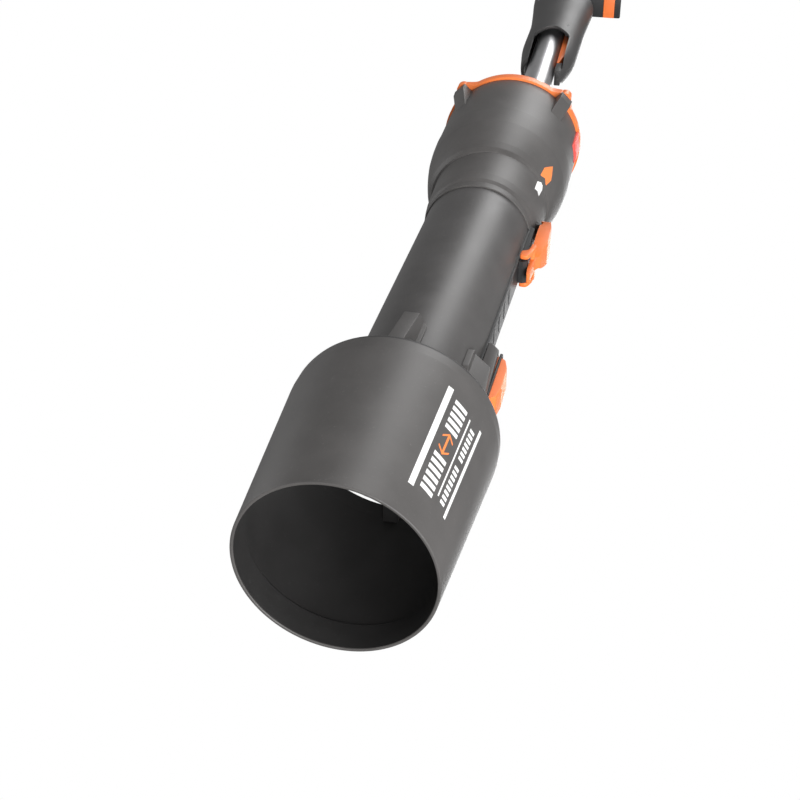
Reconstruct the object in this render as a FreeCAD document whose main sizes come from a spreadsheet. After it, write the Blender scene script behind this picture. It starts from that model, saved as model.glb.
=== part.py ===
import FreeCAD, Part
import Sketcher
import os
import re

# Cordless pole leaf blower.
# +X is the blowing direction, +Z is up, and the origin is the centre of the nozzle's mouth.
# Everything lies behind the mouth, so places along the tool are distances back from it.
# The fan unit and the pole each lean a little about the Y axis, so both have a frame of their own.

SIZES = {
    # sliding nozzle
    "mouth_bore": 56.5,
    "mouth_rim": 58.5,
    "mouth_land": 20,
    "shroud_long": 122,
    "shroud_wide": 65.4,
    "shroud_end": 134,
    "shroud_end_rim": 64.4,
    "shroud_wall": 2.2,
    "sleeve_front": 113,
    "sleeve_back": 132,
    "sleeve_bore": 40.7,
    "sleeve_wall": 1.8,
    "arm_thick": 10,
    "arm_foot": 39.0,
    "arm_heel": 200,
    "arm_knee": 184,
    "arm_knee_rim": 51.5,
    "arm_back_rim": 54,
    "key_arm_half": 17,
    "pod_front": 150,
    "pod_back": 222,
    "pod_half": 11,
    "pod_drop": 48,
    "button_front": 164,
    "button_back": 212,
    "button_half": 8,
    "button_drop": 56.5,
    "button_travel": 2.5,
    # blow tube
    "tube_rim": 38.7,
    "tube_wall": 2,
    "tube_front": 112,
    "tube_back": 400,
    "rail_half": 9,
    "rail_drop": 39.4,
    "rail_back": 386,
    # tube latch
    "latch_pin_back": 338,
    "latch_pin_drop": 42.5,
    "latch_pin_rim": 1.5,
    "latch_back": 407,
    "latch_tip": 326,
    "latch_half": 11,
    "latch_crown": 54.6,
    # fan housing
    "fan_hinge": 370,
    "fan_lean": 1.2,
    "collar_front": 388,
    "collar_rim": 42.6,
    "collar_back": 430,
    "flare_back": 486,
    "drum_rim": 54.5,
    "drum_wall": 2.3,
    "drum_back": 541,
    "ring_thick": 5,
    "ring_rim": 55.6,
    "ear_reach": 58.3,
    "ear_rim": 5,
    "boss_long": 14,
    "screw_rim": 1.6,
    # motor and fan
    "pod_rim": 24,
    "cone_front": 405,
    "cup_front": 452,
    "cup_back": 499,
    "vane_front": 468,
    "vane_thick": 1.8,
    "stator_rim": 19,
    "stator_bore": 8.4,
    "shaft_rim": 2.5,
    "fan_front": 503,
    "fan_back": 529,
    "blade_tip": 51.3,
    "blade_thick": 1.6,
    # rear guard and pole
    "guard_back": 602,
    "guard_rim": 51,
    "guard_neck": 23,
    "pole_hinge": 585,
    "pole_lean": 2.45,
    "pole_rim": 12.5,
    "pole_wall": 1.5,
    "pole_front": 596,
    "pole_back": 815,
    "socket_back": 632,
    "socket_rim": 16.6,
    "slot_ahead": 31,
    "slot_behind": 61,
    # handle
    "shell_wall": 2.6,
    "bush_bore": 12.56,
    "pole_clear": 12.9,
    "tooth_back": 712,
    "tooth_rim": 2.6,
    "lever_pin_back": 762,
    "lever_pin_drop": 15,
    "trigger_front": 860.5,
    "trigger_pin_back": 867,
    "trigger_pin_drop": 19,
    "trigger_half": 10,
    "trigger_tip": 57.8,
    "inlay_high": 40.8,
    "inlay_low": 51.8,
    "pin_rim": 1.6,
    "dock_face": 1050,
    "rail_half_wide": 22,
    "rail_half_neck": 17,
    "eye_rim": 5,
    # battery
    "pack_front": 1051,
    "pack_back": 1098,
    "pack_half": 38,
    "pack_top": 34,
    "pack_bottom": 66,
}
WORD = re.compile(r"[a-z][a-z_]*")

doc = FreeCAD.newDocument("leaf_blower")
sheet = doc.addObject("Spreadsheet::Sheet", "Sizes")
for row, (alias, size) in enumerate(SIZES.items(), start=1):
    sheet.set("A%d" % row, alias.replace("_", " "))
    sheet.set("B%d" % row, str(size))
    sheet.setAlias("B%d" % row, alias)
doc.recompute()


def cell(text):
    """The sheet's expression for a sum of sizes, such as 'tube_rim - tube_wall'."""
    return WORD.sub(lambda word: "Sizes." + word.group(0), text)


def number(text):
    """The value of such a sum in millimetres."""
    return FreeCAD.Units.Quantity(WORD.sub(lambda word: str(SIZES[word.group(0)]), text)).Value


def bind(item, **sums):
    for name, text in sums.items():
        item.setExpression(name, cell(text))


def put(item, back="0", side="0", up="0"):
    """Bind an item's corner or centre: distance back from the mouth, to the left and up."""
    item.setExpression(".Placement.Base.x", cell("-(%s)" % back))
    item.setExpression(".Placement.Base.y", cell(side))
    item.setExpression(".Placement.Base.z", cell(up))


def leaning(hinge, lean):
    """A frame that leans up towards the back about a point on the tool's axis."""
    turn = FreeCAD.Rotation(FreeCAD.Vector(0, 1, 0), number(lean))
    return FreeCAD.Placement(FreeCAD.Vector(), turn, FreeCAD.Vector(-number(hinge), 0, 0))


TOOL = FreeCAD.Placement()
FAN = leaning("fan_hinge", "fan_lean")
POLE = leaning("pole_hinge", "pole_lean")
ALONG_X = FreeCAD.Rotation(FreeCAD.Vector(0, 1, 0), 90)
ALONG_Y = FreeCAD.Rotation(FreeCAD.Vector(1, 0, 0), -90)


# ---------------------------------------------------------------- sketches and features

def origin_plane(body, role):
    for feature in body.Origin.OriginFeatures:
        if feature.Role == role:
            return feature


def outline(body, plane, corners):
    """A closed outline of straight edges. A corner is (distance back, height) as sums."""
    sketch = body.newObject("Sketcher::SketchObject", "outline")
    sketch.AttachmentSupport = [(origin_plane(body, plane), "")]
    sketch.MapMode = "FlatFace"
    places = [FreeCAD.Vector(-number(back), number(high), 0) for back, high in corners]
    edges = [Part.LineSegment(a, b) for a, b in zip(places, places[1:] + places[:1])]
    sketch.addGeometry(edges, False)
    for index in range(len(edges)):
        following = (index + 1) % len(edges)
        sketch.addConstraint(Sketcher.Constraint("Coincident", index, 2, following, 1))
    for index, (back, high) in enumerate(corners):
        for kind, text in (("DistanceX", "-(%s)" % back), ("DistanceY", high)):
            row = sketch.addConstraint(Sketcher.Constraint(kind, -1, 1, index, 1, number(text)))
            sketch.setExpression("Constraints[%d]" % row, cell(text))
    return sketch


def turned(label, corners, frame=TOOL):
    """A body turned about the X axis."""
    body = doc.addObject("PartDesign::Body", label)
    sketch = outline(body, "XZ_Plane", corners)
    turn = body.newObject("PartDesign::Revolution", "turn")
    turn.Profile = sketch
    turn.ReferenceAxis = (sketch, ["H_Axis"])
    turn.Angle = 360
    body.Placement = frame
    return body


def slab(label, corners, thick, frame=TOOL):
    """A side view given a thickness, half on each side of the middle plane."""
    body = doc.addObject("PartDesign::Body", label)
    sketch = outline(body, "XZ_Plane", corners)
    pad = body.newObject("PartDesign::Pad", "thickness")
    pad.Profile = sketch
    pad.SideType = "Symmetric"
    bind(pad, Length=thick)
    body.Placement = frame
    return body


def soften(body, radius, wanted):
    """Round the edges of a body's tip that the test picks."""
    doc.recompute()
    base = body.Tip
    names = ["Edge%d" % (n + 1) for n, edge in enumerate(base.Shape.Edges) if wanted(edge)]
    fillet = body.newObject("PartDesign::Fillet", "soft_edge")
    fillet.Base = (base, names)
    bind(fillet, Radius=radius)
    return body


def block(label, front, back, half, low, high, middle="0"):
    """A box from front to back and from low to high, to each side of the middle."""
    box = doc.addObject("Part::Box", label)
    bind(box, Length="%s - (%s)" % (back, front), Width="2 * (%s)" % half)
    bind(box, Height="%s - (%s)" % (high, low))
    put(box, back, "%s - (%s)" % (middle, half), low)
    return box


def rod(label, front, back, rim, side="0", up="0"):
    """A round bar along X."""
    bar = doc.addObject("Part::Cylinder", label)
    bar.Placement.Rotation = ALONG_X
    bind(bar, Radius=rim, Height="%s - (%s)" % (back, front))
    put(bar, back, side, up)
    return bar


def pin(label, back, up, rim, half, middle="0"):
    """A round bar along Y."""
    bar = doc.addObject("Part::Cylinder", label)
    bar.Placement.Rotation = ALONG_Y
    bind(bar, Radius=rim, Height="2 * (%s)" % half)
    put(bar, back, "%s - (%s)" % (middle, half), up)
    return bar


def post(label, back, low, high, rim, side="0"):
    """A round bar along Z."""
    bar = doc.addObject("Part::Cylinder", label)
    bind(bar, Radius=rim, Height="%s - (%s)" % (high, low))
    put(bar, back, side, low)
    return bar


def joined(label, pieces, frame=TOOL):
    fuse = doc.addObject("Part::MultiFuse", label)
    fuse.Shapes = pieces
    fuse.Refine = True
    fuse.Placement = frame
    return fuse


def less(label, base, tool, frame=TOOL):
    cut = doc.addObject("Part::Cut", label)
    cut.Base = base
    cut.Tool = tool
    cut.Refine = True
    cut.Placement = frame
    return cut


def group(label, pieces, frame=TOOL):
    """Identical loose pieces that share one node."""
    compound = doc.addObject("Part::Compound", label)
    compound.Links = pieces
    compound.Placement = frame
    return compound


def common(label, first, second, frame=TOOL):
    both = doc.addObject("Part::Common", label)
    both.Base = first
    both.Tool = second
    both.Placement = frame
    return both


def about_x(piece, degrees):
    """Turn a piece about the tool's axis."""
    piece.Placement = FreeCAD.Placement(
        FreeCAD.Vector(), FreeCAD.Rotation(FreeCAD.Vector(1, 0, 0), degrees)
    )
    return piece


def coil(label, back, up, rim, wire, pitch, turns):
    """A round-wire spring that hangs down from a height."""
    helix = Part.makeHelix(number(pitch), number(pitch) * number(turns), number(rim))
    start = FreeCAD.Vector(number(rim), 0, 0)
    ring = Part.Circle(start, FreeCAD.Vector(0, 1, 0), number(wire))
    part = doc.addObject("Part::Feature", label)
    part.Shape = Part.Wire(helix).makePipeShell([Part.Wire(ring.toShape())], True, True)
    down = FreeCAD.Rotation(FreeCAD.Vector(1, 0, 0), 180)
    part.Placement = FreeCAD.Placement(FreeCAD.Vector(-number(back), 0, number(up)), down)
    return part


def tube(label, front, back, rim, bore, frame=TOOL):
    """A plain round tube along X."""
    return turned(label, [(front, bore), (front, rim), (back, rim), (back, bore)], frame)


def ring_of(count, first, make):
    """Copies of a piece, evenly around the X axis. make(index, degrees) makes one."""
    return [make(index, first + index * 360.0 / count) for index in range(count)]


# ---------------------------------------------------------------- sliding nozzle

def nozzle():
    shell = turned("shroud_shell", [
        ("0", "mouth_bore"),
        ("0", "mouth_rim"),
        ("shroud_long", "shroud_wide"),
        ("shroud_end", "shroud_end_rim"),
        ("shroud_end", "shroud_end_rim - shroud_wall"),
        ("shroud_long", "shroud_wide - shroud_wall"),
        ("mouth_land", "mouth_rim - 1.1"),
        ("mouth_land", "mouth_bore"),
    ])
    sleeve = tube("sleeve", "sleeve_front", "sleeve_back", "sleeve_bore + sleeve_wall", "sleeve_bore")
    arms = []
    for degrees in (0, 90, -90):
        arm = slab("arm", [
            ("sleeve_front", "arm_foot"),
            ("arm_heel - 9", "arm_foot"),
            ("arm_knee - 7", "arm_back_rim"),
            ("shroud_end", "arm_back_rim + 3"),
            ("shroud_end - 6", "shroud_end_rim - 0.8"),
            ("sleeve_front - 13", "shroud_end_rim - 1.4"),
            ("sleeve_front", "sleeve_bore + 3"),
        ], "arm_thick - 0.5")
        arms.append(about_x(arm, degrees))
    key = slab("key_slab", [
        ("sleeve_front", "-rail_half_wide - 8"),
        ("arm_heel", "-rail_half_wide - 8"),
        ("arm_heel", "-34.5"),
        ("arm_knee", "-48.3"),
        ("shroud_end + 26", "-50"),
        ("shroud_end", "-52.5"),
        ("shroud_end - 6", "-66"),
        ("sleeve_front - 13", "-66"),
        ("sleeve_front", "-sleeve_bore - 3"),
    ], "2 * key_arm_half")
    limit = turned("key_limit", [
        ("sleeve_front - 23", "0"),
        ("sleeve_front - 23", "shroud_wide - 2.4"),
        ("shroud_long", "shroud_wide - 0.7"),
        ("shroud_end", "shroud_end_rim - 0.7"),
        ("pod_back + 8", "shroud_end_rim - 0.7"),
        ("pod_back + 8", "0"),
    ])
    bore = rod("key_bore", "sleeve_front - 30", "pod_back + 10", "tube_rim + 0.6")
    way = block("rail_way", "sleeve_front - 30", "pod_back + 10", "rail_half + 0.5",
                "-rail_drop - 0.5", "0")
    arm = less("key_arm", common("key_trim", key, limit), joined("key_clear", [bore, way]))
    pod = block("pod", "pod_front", "pod_back", "pod_half", "-pod_drop", "-rail_drop - 0.5")
    well = block("pod_well", "button_front - 0.4", "button_back + 0.4", "button_half + 0.4",
                 "-pod_drop - 20", "-rail_drop - 2.2")
    body = joined("nozzle_solid", [shell, sleeve, arm, pod] + arms)
    less("nozzle_shroud", body, well)
    button = slab("button_solid", [
        ("button_front", "-button_drop + 12"),
        ("button_back", "-button_drop + 12"),
        ("button_back", "-button_drop + 8"),
        ("button_back - 3", "-button_drop + 3.5"),
        ("button_back - 12", "-button_drop + 0.6"),
        ("button_front + 14", "-button_drop"),
        ("button_front + 4", "-button_drop + 1.6"),
        ("button_front", "-button_drop + 6"),
    ], "2 * button_half")
    soften(button, "2.2", crown_edge)
    seat = post("button_seat", "button_front + 24", "-button_drop + 4", "-button_drop + 14", "3.9")
    less("nozzle_button", button, seat)
    coil("button_spring", "button_front + 24", "-rail_drop - 2.7", "3", "0.35", "2", "4.9")


def crown_edge(edge):
    """The long edges at the sides of the button's crown."""
    low = edge.BoundBox.ZMax < -number("button_drop") + 4
    return low and edge.BoundBox.YLength < 0.01


# ---------------------------------------------------------------- blow tube and its latch

def blow_tube():
    shell = tube("tube_shell", "tube_front", "tube_back", "tube_rim", "tube_rim - tube_wall")
    rail = block("rail", "tube_front", "rail_back", "rail_half", "-rail_drop", "-rail_drop + 2.4")
    joined("blow_tube", [shell, rail])
    tube("tube_seal", "tube_back + 0.1", "tube_back + 2.9", "tube_rim", "tube_rim - 1.7")


def latch():
    base = slab("bracket_solid", [
        ("latch_pin_back - 5", "-rail_drop - 0.1"),
        ("latch_pin_back + 48", "-rail_drop - 0.1"),
        ("latch_pin_back + 45", "-rail_drop - 3"),
        ("latch_pin_back + 6", "-rail_drop - 3.4"),
        ("latch_pin_back + 3", "-rail_drop - 5.6"),
        ("latch_pin_back - 3", "-rail_drop - 5.6"),
        ("latch_pin_back - 5", "-rail_drop - 3"),
    ], "2 * rail_half - 0.8")
    hole = pin("bracket_hole", "latch_pin_back", "-latch_pin_drop", "latch_pin_rim + 0.04",
               "latch_half + 5")
    less("latch_bracket", base, hole)
    pin("latch_pin", "latch_pin_back", "-latch_pin_drop", "latch_pin_rim", "latch_half + 1.4")
    body = slab("latch_side", [
        ("latch_tip", "-latch_crown + 8.8"),
        ("latch_pin_back - 5.6", "-latch_crown + 9"),
        ("latch_pin_back + 50", "-latch_crown + 9.4"),
        ("latch_back - 17", "-latch_crown + 8"),
        ("latch_back - 9", "-latch_crown + 8"),
        ("latch_back - 9", "-latch_crown + 10.2"),
        ("latch_back - 2", "-latch_crown + 10.2"),
        ("latch_back", "-latch_crown + 8.6"),
        ("latch_back - 2", "-latch_crown + 6"),
        ("latch_back - 8", "-latch_crown + 3.4"),
        ("latch_back - 23", "-latch_crown + 1"),
        ("latch_back - 42", "-latch_crown"),
        ("latch_back - 54", "-latch_crown + 2"),
        ("latch_back - 62", "-latch_crown + 5.4"),
        ("latch_tip + 2", "-latch_crown + 6.4"),
        ("latch_tip", "-latch_crown + 7"),
    ], "2 * rail_half")
    wings = []
    for middle in ("latch_half", "-latch_half"):
        outward = middle + (" + 0.2" if middle == "latch_half" else " - 0.2")
        wings.append(block("wing", "latch_pin_back - 5", "latch_pin_back + 7", "1.8",
                           "-latch_crown + 5.6", "-latch_crown + 15.4", outward))
        wings.append(block("wing_foot", "latch_pin_back - 5", "latch_pin_back + 7", "2",
                           "-latch_crown + 5.6", "-latch_crown + 8.4", middle))
    eye = pin("latch_eye", "latch_pin_back", "-latch_pin_drop", "latch_pin_rim + 0.05",
              "latch_half + 5")
    knuckle = block("knuckle_room", "latch_pin_back - 6.5", "latch_pin_back + 7.4",
                    "rail_half - 0.05", "-latch_crown + 8.2", "0")
    less("tube_latch", joined("latch_solid", [body] + wings), joined("latch_cuts", [eye, knuckle]))


# ---------------------------------------------------------------- fan housing

def fan_housing():
    collar = turned("collar", [
        ("tube_back - 20", "tube_rim + 0.05"),
        ("tube_back - 20", "tube_rim + 1.2"),
        ("tube_back - 14", "tube_rim + 1.2"),
        ("tube_back - 9", "collar_rim - 1.2"),
        ("tube_back", "collar_rim - 0.4"),
        ("collar_back", "collar_rim + 1"),
        ("collar_back", "collar_rim - 1.1"),
        ("tube_back + 3", "tube_rim - 1.8"),
        ("tube_back + 3", "tube_rim + 0.05"),
    ])
    flare = turned("flare", [
        ("collar_back - 3", "collar_rim - 0.6"),
        ("collar_back", "drum_rim - 8.5"),
        ("collar_back + 8", "drum_rim - 6"),
        ("collar_back + 16", "drum_rim - 4.2"),
        ("collar_back + 25", "drum_rim - 2.5"),
        ("collar_back + 34", "drum_rim - 1.1"),
        ("collar_back + 45", "drum_rim - 0.3"),
        ("flare_back", "drum_rim"),
        ("drum_back", "drum_rim - 0.5"),
        ("drum_back", "drum_rim - 2.6"),
        ("flare_back", "drum_rim - drum_wall"),
        ("collar_back + 34", "drum_rim - 3.4"),
        ("collar_back + 16", "drum_rim - 6.5"),
        ("collar_back + 8", "drum_rim - 8.3"),
        ("collar_back", "drum_rim - 11.6"),
        ("collar_back - 3", "collar_rim - 1.6"),
    ])
    flare.Placement = FAN
    bosses = ring_of(4, 45, boss)
    lug = block("catch_lug", "tube_back - 7.5", "tube_back - 4", "rail_half - 2",
                "-collar_rim - 3", "-collar_rim + 2")
    way = block("collar_way", "tube_back - 30", "rail_back + 0.6", "rail_half + 0.2",
                "-rail_drop - 4", "-rail_drop + 3")
    pieces = joined("housing_solid", [collar, flare, lug] + bosses)
    holes = ring_of(4, 45, boss_hole)
    less("fan_housing", pieces, joined("housing_cuts", [way] + holes))


def spoke_rod(label, degrees, front, back, rim, reach, frame=FAN):
    """A bar along X at a reach from the frame's axis, turned about it."""
    bar = doc.addObject("Part::Cylinder", label)
    bind(bar, Radius=rim, Height="%s - (%s)" % (back, front))
    turn = FreeCAD.Rotation(FreeCAD.Vector(1, 0, 0), degrees)
    base = turn.multVec(FreeCAD.Vector(-number(back), 0, number(reach)))
    bar.Placement = frame.multiply(FreeCAD.Placement(base, ALONG_X))
    return bar


def boss(index, degrees):
    return spoke_rod("boss", degrees, "drum_back - boss_long", "drum_back", "ear_rim - 0.4", "ear_reach")


def boss_hole(index, degrees):
    return spoke_rod("boss_hole", degrees, "drum_back - boss_long + 2", "drum_back + 1",
                     "screw_rim + 0.03", "ear_reach")


def flange():
    ring = tube("ring", "drum_back + 0.1", "drum_back + ring_thick", "ring_rim", "drum_rim - 2.8", FAN)
    ears = ring_of(4, 45, ear)
    holes = ring_of(4, 45, ear_hole)
    less("flange_ring", joined("ring_solid", [ring] + ears), joined("ring_cuts", holes))
    group("flange_screws", ring_of(4, 45, flange_screw))


def ear(index, degrees):
    return spoke_rod("ear", degrees, "drum_back + 0.1", "drum_back + ring_thick", "ear_rim", "ear_reach")


def ear_hole(index, degrees):
    return spoke_rod("ear_hole", degrees, "drum_back - 1", "drum_back + ring_thick + 1",
                     "screw_rim + 0.1", "ear_reach")


def flange_screw(index, degrees):
    shank = spoke_rod("shank", degrees, "drum_back - boss_long + 4", "drum_back + ring_thick",
                      "screw_rim", "ear_reach")
    head = spoke_rod("head", degrees, "drum_back + ring_thick + 0.02", "drum_back + ring_thick + 2.4",
                     "2 * screw_rim", "ear_reach")
    neck = spoke_rod("neck", degrees, "drum_back + ring_thick - 1", "drum_back + ring_thick + 1",
                     "screw_rim", "ear_reach")
    return joined("flange_screw", [shank, head, neck])


# ---------------------------------------------------------------- motor and fan, in the fan's frame

def motor():
    cup = turned("cup", [
        ("cup_front", "pod_rim - 1.8"),
        ("cup_front", "pod_rim"),
        ("cup_back", "pod_rim"),
        ("cup_back", "2 * shaft_rim"),
        ("cup_back - 2.5", "2 * shaft_rim"),
        ("cup_back - 2.5", "7.05"),
        ("cup_back - 7.5", "7.05"),
        ("cup_back - 7.5", "9.5"),
        ("cup_back - 4.5", "9.5"),
        ("cup_back - 4.5", "pod_rim - 1.8"),
    ])
    vanes = ring_of(7, 0, vane)
    joined("stator_vanes", [cup] + vanes, FAN)
    turned("tail_cone", [
        ("cone_front", "0"),
        ("cone_front + 1", "3"),
        ("cone_front + 10", "9.5"),
        ("cone_front + 25", "17"),
        ("cone_front + 39", "pod_rim - 1.6"),
        ("cup_front - 0.05", "pod_rim"),
        ("cup_front - 0.05", "pod_rim - 2"),
        ("cone_front + 39", "pod_rim - 3.8"),
        ("cone_front + 25", "pod_rim - 9.4"),
        ("cone_front + 11", "7"),
        ("cone_front + 4", "0"),
    ], FAN)
    turned("motor_front_plate", [
        ("cup_front + 0.5", "7.05"),
        ("cup_front + 0.5", "pod_rim - 1.85"),
        ("cup_front + 3.5", "pod_rim - 1.85"),
        ("cup_front + 3.5", "9.5"),
        ("cup_front + 7", "9.5"),
        ("cup_front + 7", "2 * shaft_rim"),
        ("cup_front + 5.6", "2 * shaft_rim"),
        ("cup_front + 5.6", "7.05"),
    ], FAN)
    core = tube("core", "cup_front + 12", "cup_back - 10", "pod_rim - 1.85", "stator_bore")
    slots = ring_of(9, 20, slot)
    less("motor_stator", core, joined("slots", slots), FAN)
    group("motor_windings", ring_of(9, 20, winding), FAN)
    bearings = [
        tube("bearing", "cup_front + 0.5", "cup_front + 5.5", "7", "shaft_rim + 0.04"),
        tube("bearing", "cup_back - 7.5", "cup_back - 2.6", "7", "shaft_rim + 0.04"),
    ]
    group("motor_bearings", bearings, FAN)
    tube("motor_rotor", "cup_front + 11", "cup_back - 9", "stator_bore - 0.45", "shaft_rim + 0.02", FAN)
    shaft = rod("shaft_bar", "cup_front - 2", "fan_back - 3", "shaft_rim")
    group("motor_shaft", [shaft], FAN)


def vane(index, degrees):
    """A guide vane, thinner than it is deep, from the motor's cup to the drum."""
    blade = slab("vane", [
        ("vane_front", "pod_rim - 1"),
        ("cup_back - 7", "pod_rim - 1"),
        ("cup_back - 7", "drum_rim - drum_wall - 0.25"),
        ("vane_front + 10", "drum_rim - drum_wall - 0.7"),
        ("vane_front", "drum_rim - drum_wall - 1.5"),
    ], "vane_thick")
    return about_x(blade, degrees)


def slot(index, degrees):
    return spoke_rod("slot", degrees, "cup_front + 5", "cup_back", "3.3", "14", TOOL)


def winding(index, degrees):
    return spoke_rod("winding", degrees, "cup_front + 9.5", "cup_back - 8", "3", "14", TOOL)


def impeller():
    hub = turned("hub", [
        ("fan_front", "pod_rim"),
        ("fan_front + 26", "pod_rim"),
        ("fan_front + 26", "pod_rim - 2.2"),
        ("fan_front + 12", "pod_rim - 2.2"),
        ("fan_front + 12", "7"),
        ("fan_front + 17", "7"),
        ("fan_front + 17", "shaft_rim + 0.02"),
        ("fan_front + 3", "shaft_rim + 0.02"),
        ("fan_front + 3", "7"),
        ("fan_front + 8", "7"),
        ("fan_front + 8", "pod_rim - 2.2"),
        ("fan_front", "pod_rim - 2.2"),
    ])
    limit = rod("blade_limit", "fan_front - 5", "fan_back + 5", "blade_tip")
    blades = [common("blade_trim", plate, limit) for plate in ring_of(9, 0, blade)]
    wheel = joined("impeller", [hub] + blades, FAN)
    wheel.Refine = False
    turned("impeller_spinner", [
        ("fan_front + 26.1", "pod_rim"),
        ("fan_back + 3", "pod_rim - 1.5"),
        ("fan_back + 7", "pod_rim - 6"),
        ("fan_back + 10", "pod_rim - 14"),
        ("fan_back + 11", "0"),
        ("fan_back + 9", "0"),
        ("fan_back + 8.2", "pod_rim - 14.6"),
        ("fan_back + 5.4", "pod_rim - 7.6"),
        ("fan_back + 2", "pod_rim - 3.6"),
        ("fan_front + 26.1", "pod_rim - 2.2"),
    ], FAN)
    nut = doc.addObject("Part::Prism", "nut_blank")
    nut.Polygon = 6
    bind(nut, Circumradius="4.6", Height="4")
    nut.Placement.Rotation = ALONG_X
    put(nut, "fan_front + 21.2")
    bore = rod("nut_bore", "fan_front + 10", "fan_front + 30", "shaft_rim + 0.02")
    less("impeller_nut", nut, bore, FAN)


def blade(index, degrees):
    """A flat blade pitched across the air's path."""
    plate = doc.addObject("Part::Box", "blade")
    bind(plate, Length="30", Width="blade_thick", Height="blade_tip - pod_rim + 4")
    pitch = FreeCAD.Rotation(FreeCAD.Vector(0, 0, 1), 38)
    corner = pitch.multVec(FreeCAD.Vector(-15, -number("blade_thick") / 2, 0))
    middle = number("fan_front + fan_back") / 2
    base = FreeCAD.Vector(corner.x - middle, corner.y, number("pod_rim") - 2)
    turn = FreeCAD.Placement(FreeCAD.Vector(), FreeCAD.Rotation(FreeCAD.Vector(1, 0, 0), degrees))
    plate.Placement = turn.multiply(FreeCAD.Placement(base, pitch))
    return plate


# ---------------------------------------------------------------- guard, pole and lead

def guard():
    rim = tube("guard_rim", "drum_back + ring_thick + 0.1", "drum_back + ring_thick + 3",
               "guard_rim + 1", "guard_rim - 4")
    neck = tube("guard_neck_solid", "guard_back - 12", "guard_back - 2", "guard_neck + 1", "5")
    hoops = []
    for back, reach in (("560", "46.5"), ("575", "39.5"), ("587", "31")):
        hoops.append(tube("hoop", back + " - 1.4", back + " + 1.4", reach, reach + " - 3.4"))
    ribs = ring_of(16, 11.25, rib)
    body = joined("guard_solid", [rim, neck] + hoops + ribs, FAN)
    room = rod("socket_room", "guard_back - 60", "guard_back + 40", "socket_rim + 0.05")
    less("intake_guard", body, group("socket_cut", [room], POLE))


def rib(index, degrees):
    bar = slab("rib", [
        ("drum_back + ring_thick + 1", "guard_rim - 3"),
        ("drum_back + ring_thick + 1", "guard_rim + 0.5"),
        ("561", "46.8"),
        ("576", "39.6"),
        ("588", "31"),
        ("guard_back - 2", "guard_neck"),
        ("guard_back - 11", "guard_neck - 4"),
        ("guard_back - 11", "guard_neck + 2"),
        ("574", "36.4"),
        ("559", "43.6"),
    ], "2.4")
    return about_x(bar, degrees)


def pole():
    stem = turned("socket_solid", [
        ("pole_front - 8", "pole_rim + 0.04"),
        ("pole_front - 8", "socket_rim"),
        ("guard_back", "socket_rim"),
        ("guard_back", "socket_rim + 4"),
        ("guard_back + 5", "socket_rim + 4"),
        ("guard_back + 9", "socket_rim + 0.6"),
        ("socket_back", "socket_rim - 0.6"),
        ("socket_back", "pole_rim + 0.04"),
    ])
    screw_hole = post("socket_hole", "socket_back - 8", "-pole_rim - 12", "0", "2.05")
    less("pole_socket", stem, screw_hole, POLE)
    shank = post("screw_shank", "socket_back - 8", "-socket_rim - 1", "-pole_rim + 2.5", "2")
    head = post("screw_head", "socket_back - 8", "-socket_rim - 2.6", "-socket_rim - 0.2", "3.6")
    joined("socket_screw", [shank, head], POLE)
    bar = tube("pole_bar", "pole_front", "pole_back", "pole_rim", "pole_rim - pole_wall")
    screw_way = post("pole_hole", "socket_back - 8", "-pole_rim - 5", "0", "2.05")
    front, back = "tooth_back - slot_ahead", "tooth_back + slot_behind"
    keyway = [post("keyway_end", place, "-pole_rim - 5", "0", "tooth_rim + 0.35")
              for place in (front, back)]
    keyway.append(slab("keyway_run", [
        (front, "-pole_rim - 5"),
        (back, "-pole_rim - 5"),
        (back, "0"),
        (front, "0"),
    ], "2 * tooth_rim + 0.7"))
    less("pole", bar, joined("pole_cuts", [screw_way] + keyway), POLE)
    lead = rod("lead_bar", "guard_back - 8", "pole_back - 3", "3.2")
    group("power_lead", [lead], POLE)


# ---------------------------------------------------------------- handle, in the pole's frame

# distance back, middle height, half height and half width of the handle's oval sections
OVALS = [
    ("676", "-1.5", "16", "15.5"),
    ("690", "-2.3", "20.2", "18"),
    ("712", "-3.3", "23.8", "19.5"),
    ("735", "-3", "25.2", "20"),
    ("785", "-3.6", "25.3", "20"),
    ("830", "-3.2", "28", "20.5"),
    ("850", "-2.7", "29.3", "20.6"),
    ("868", "0", "27.5", "19.5"),
    ("890", "6", "20.5", "17.5"),
    ("930", "7.5", "19", "17"),
    ("980", "7", "19.5", "17.3"),
    ("1015", "2", "28", "24"),
    ("1037", "-4", "37", "31"),
]


def oval_loft(label, ovals, grow):
    """A skin through the oval sections, each one grown by an amount."""
    wires = []
    for back, middle, high, wide in ovals:
        oval = doc.addObject("Part::Ellipse", "oval")
        bind(oval, MajorRadius="%s + %s" % (high, grow), MinorRadius="%s + %s" % (wide, grow))
        oval.Placement.Rotation = ALONG_X
        put(oval, back, "0", middle)
        wires.append(oval)
    loft = doc.addObject("Part::Loft", label)
    loft.Sections = wires
    loft.Solid = True
    loft.Ruled = True
    return loft


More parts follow.
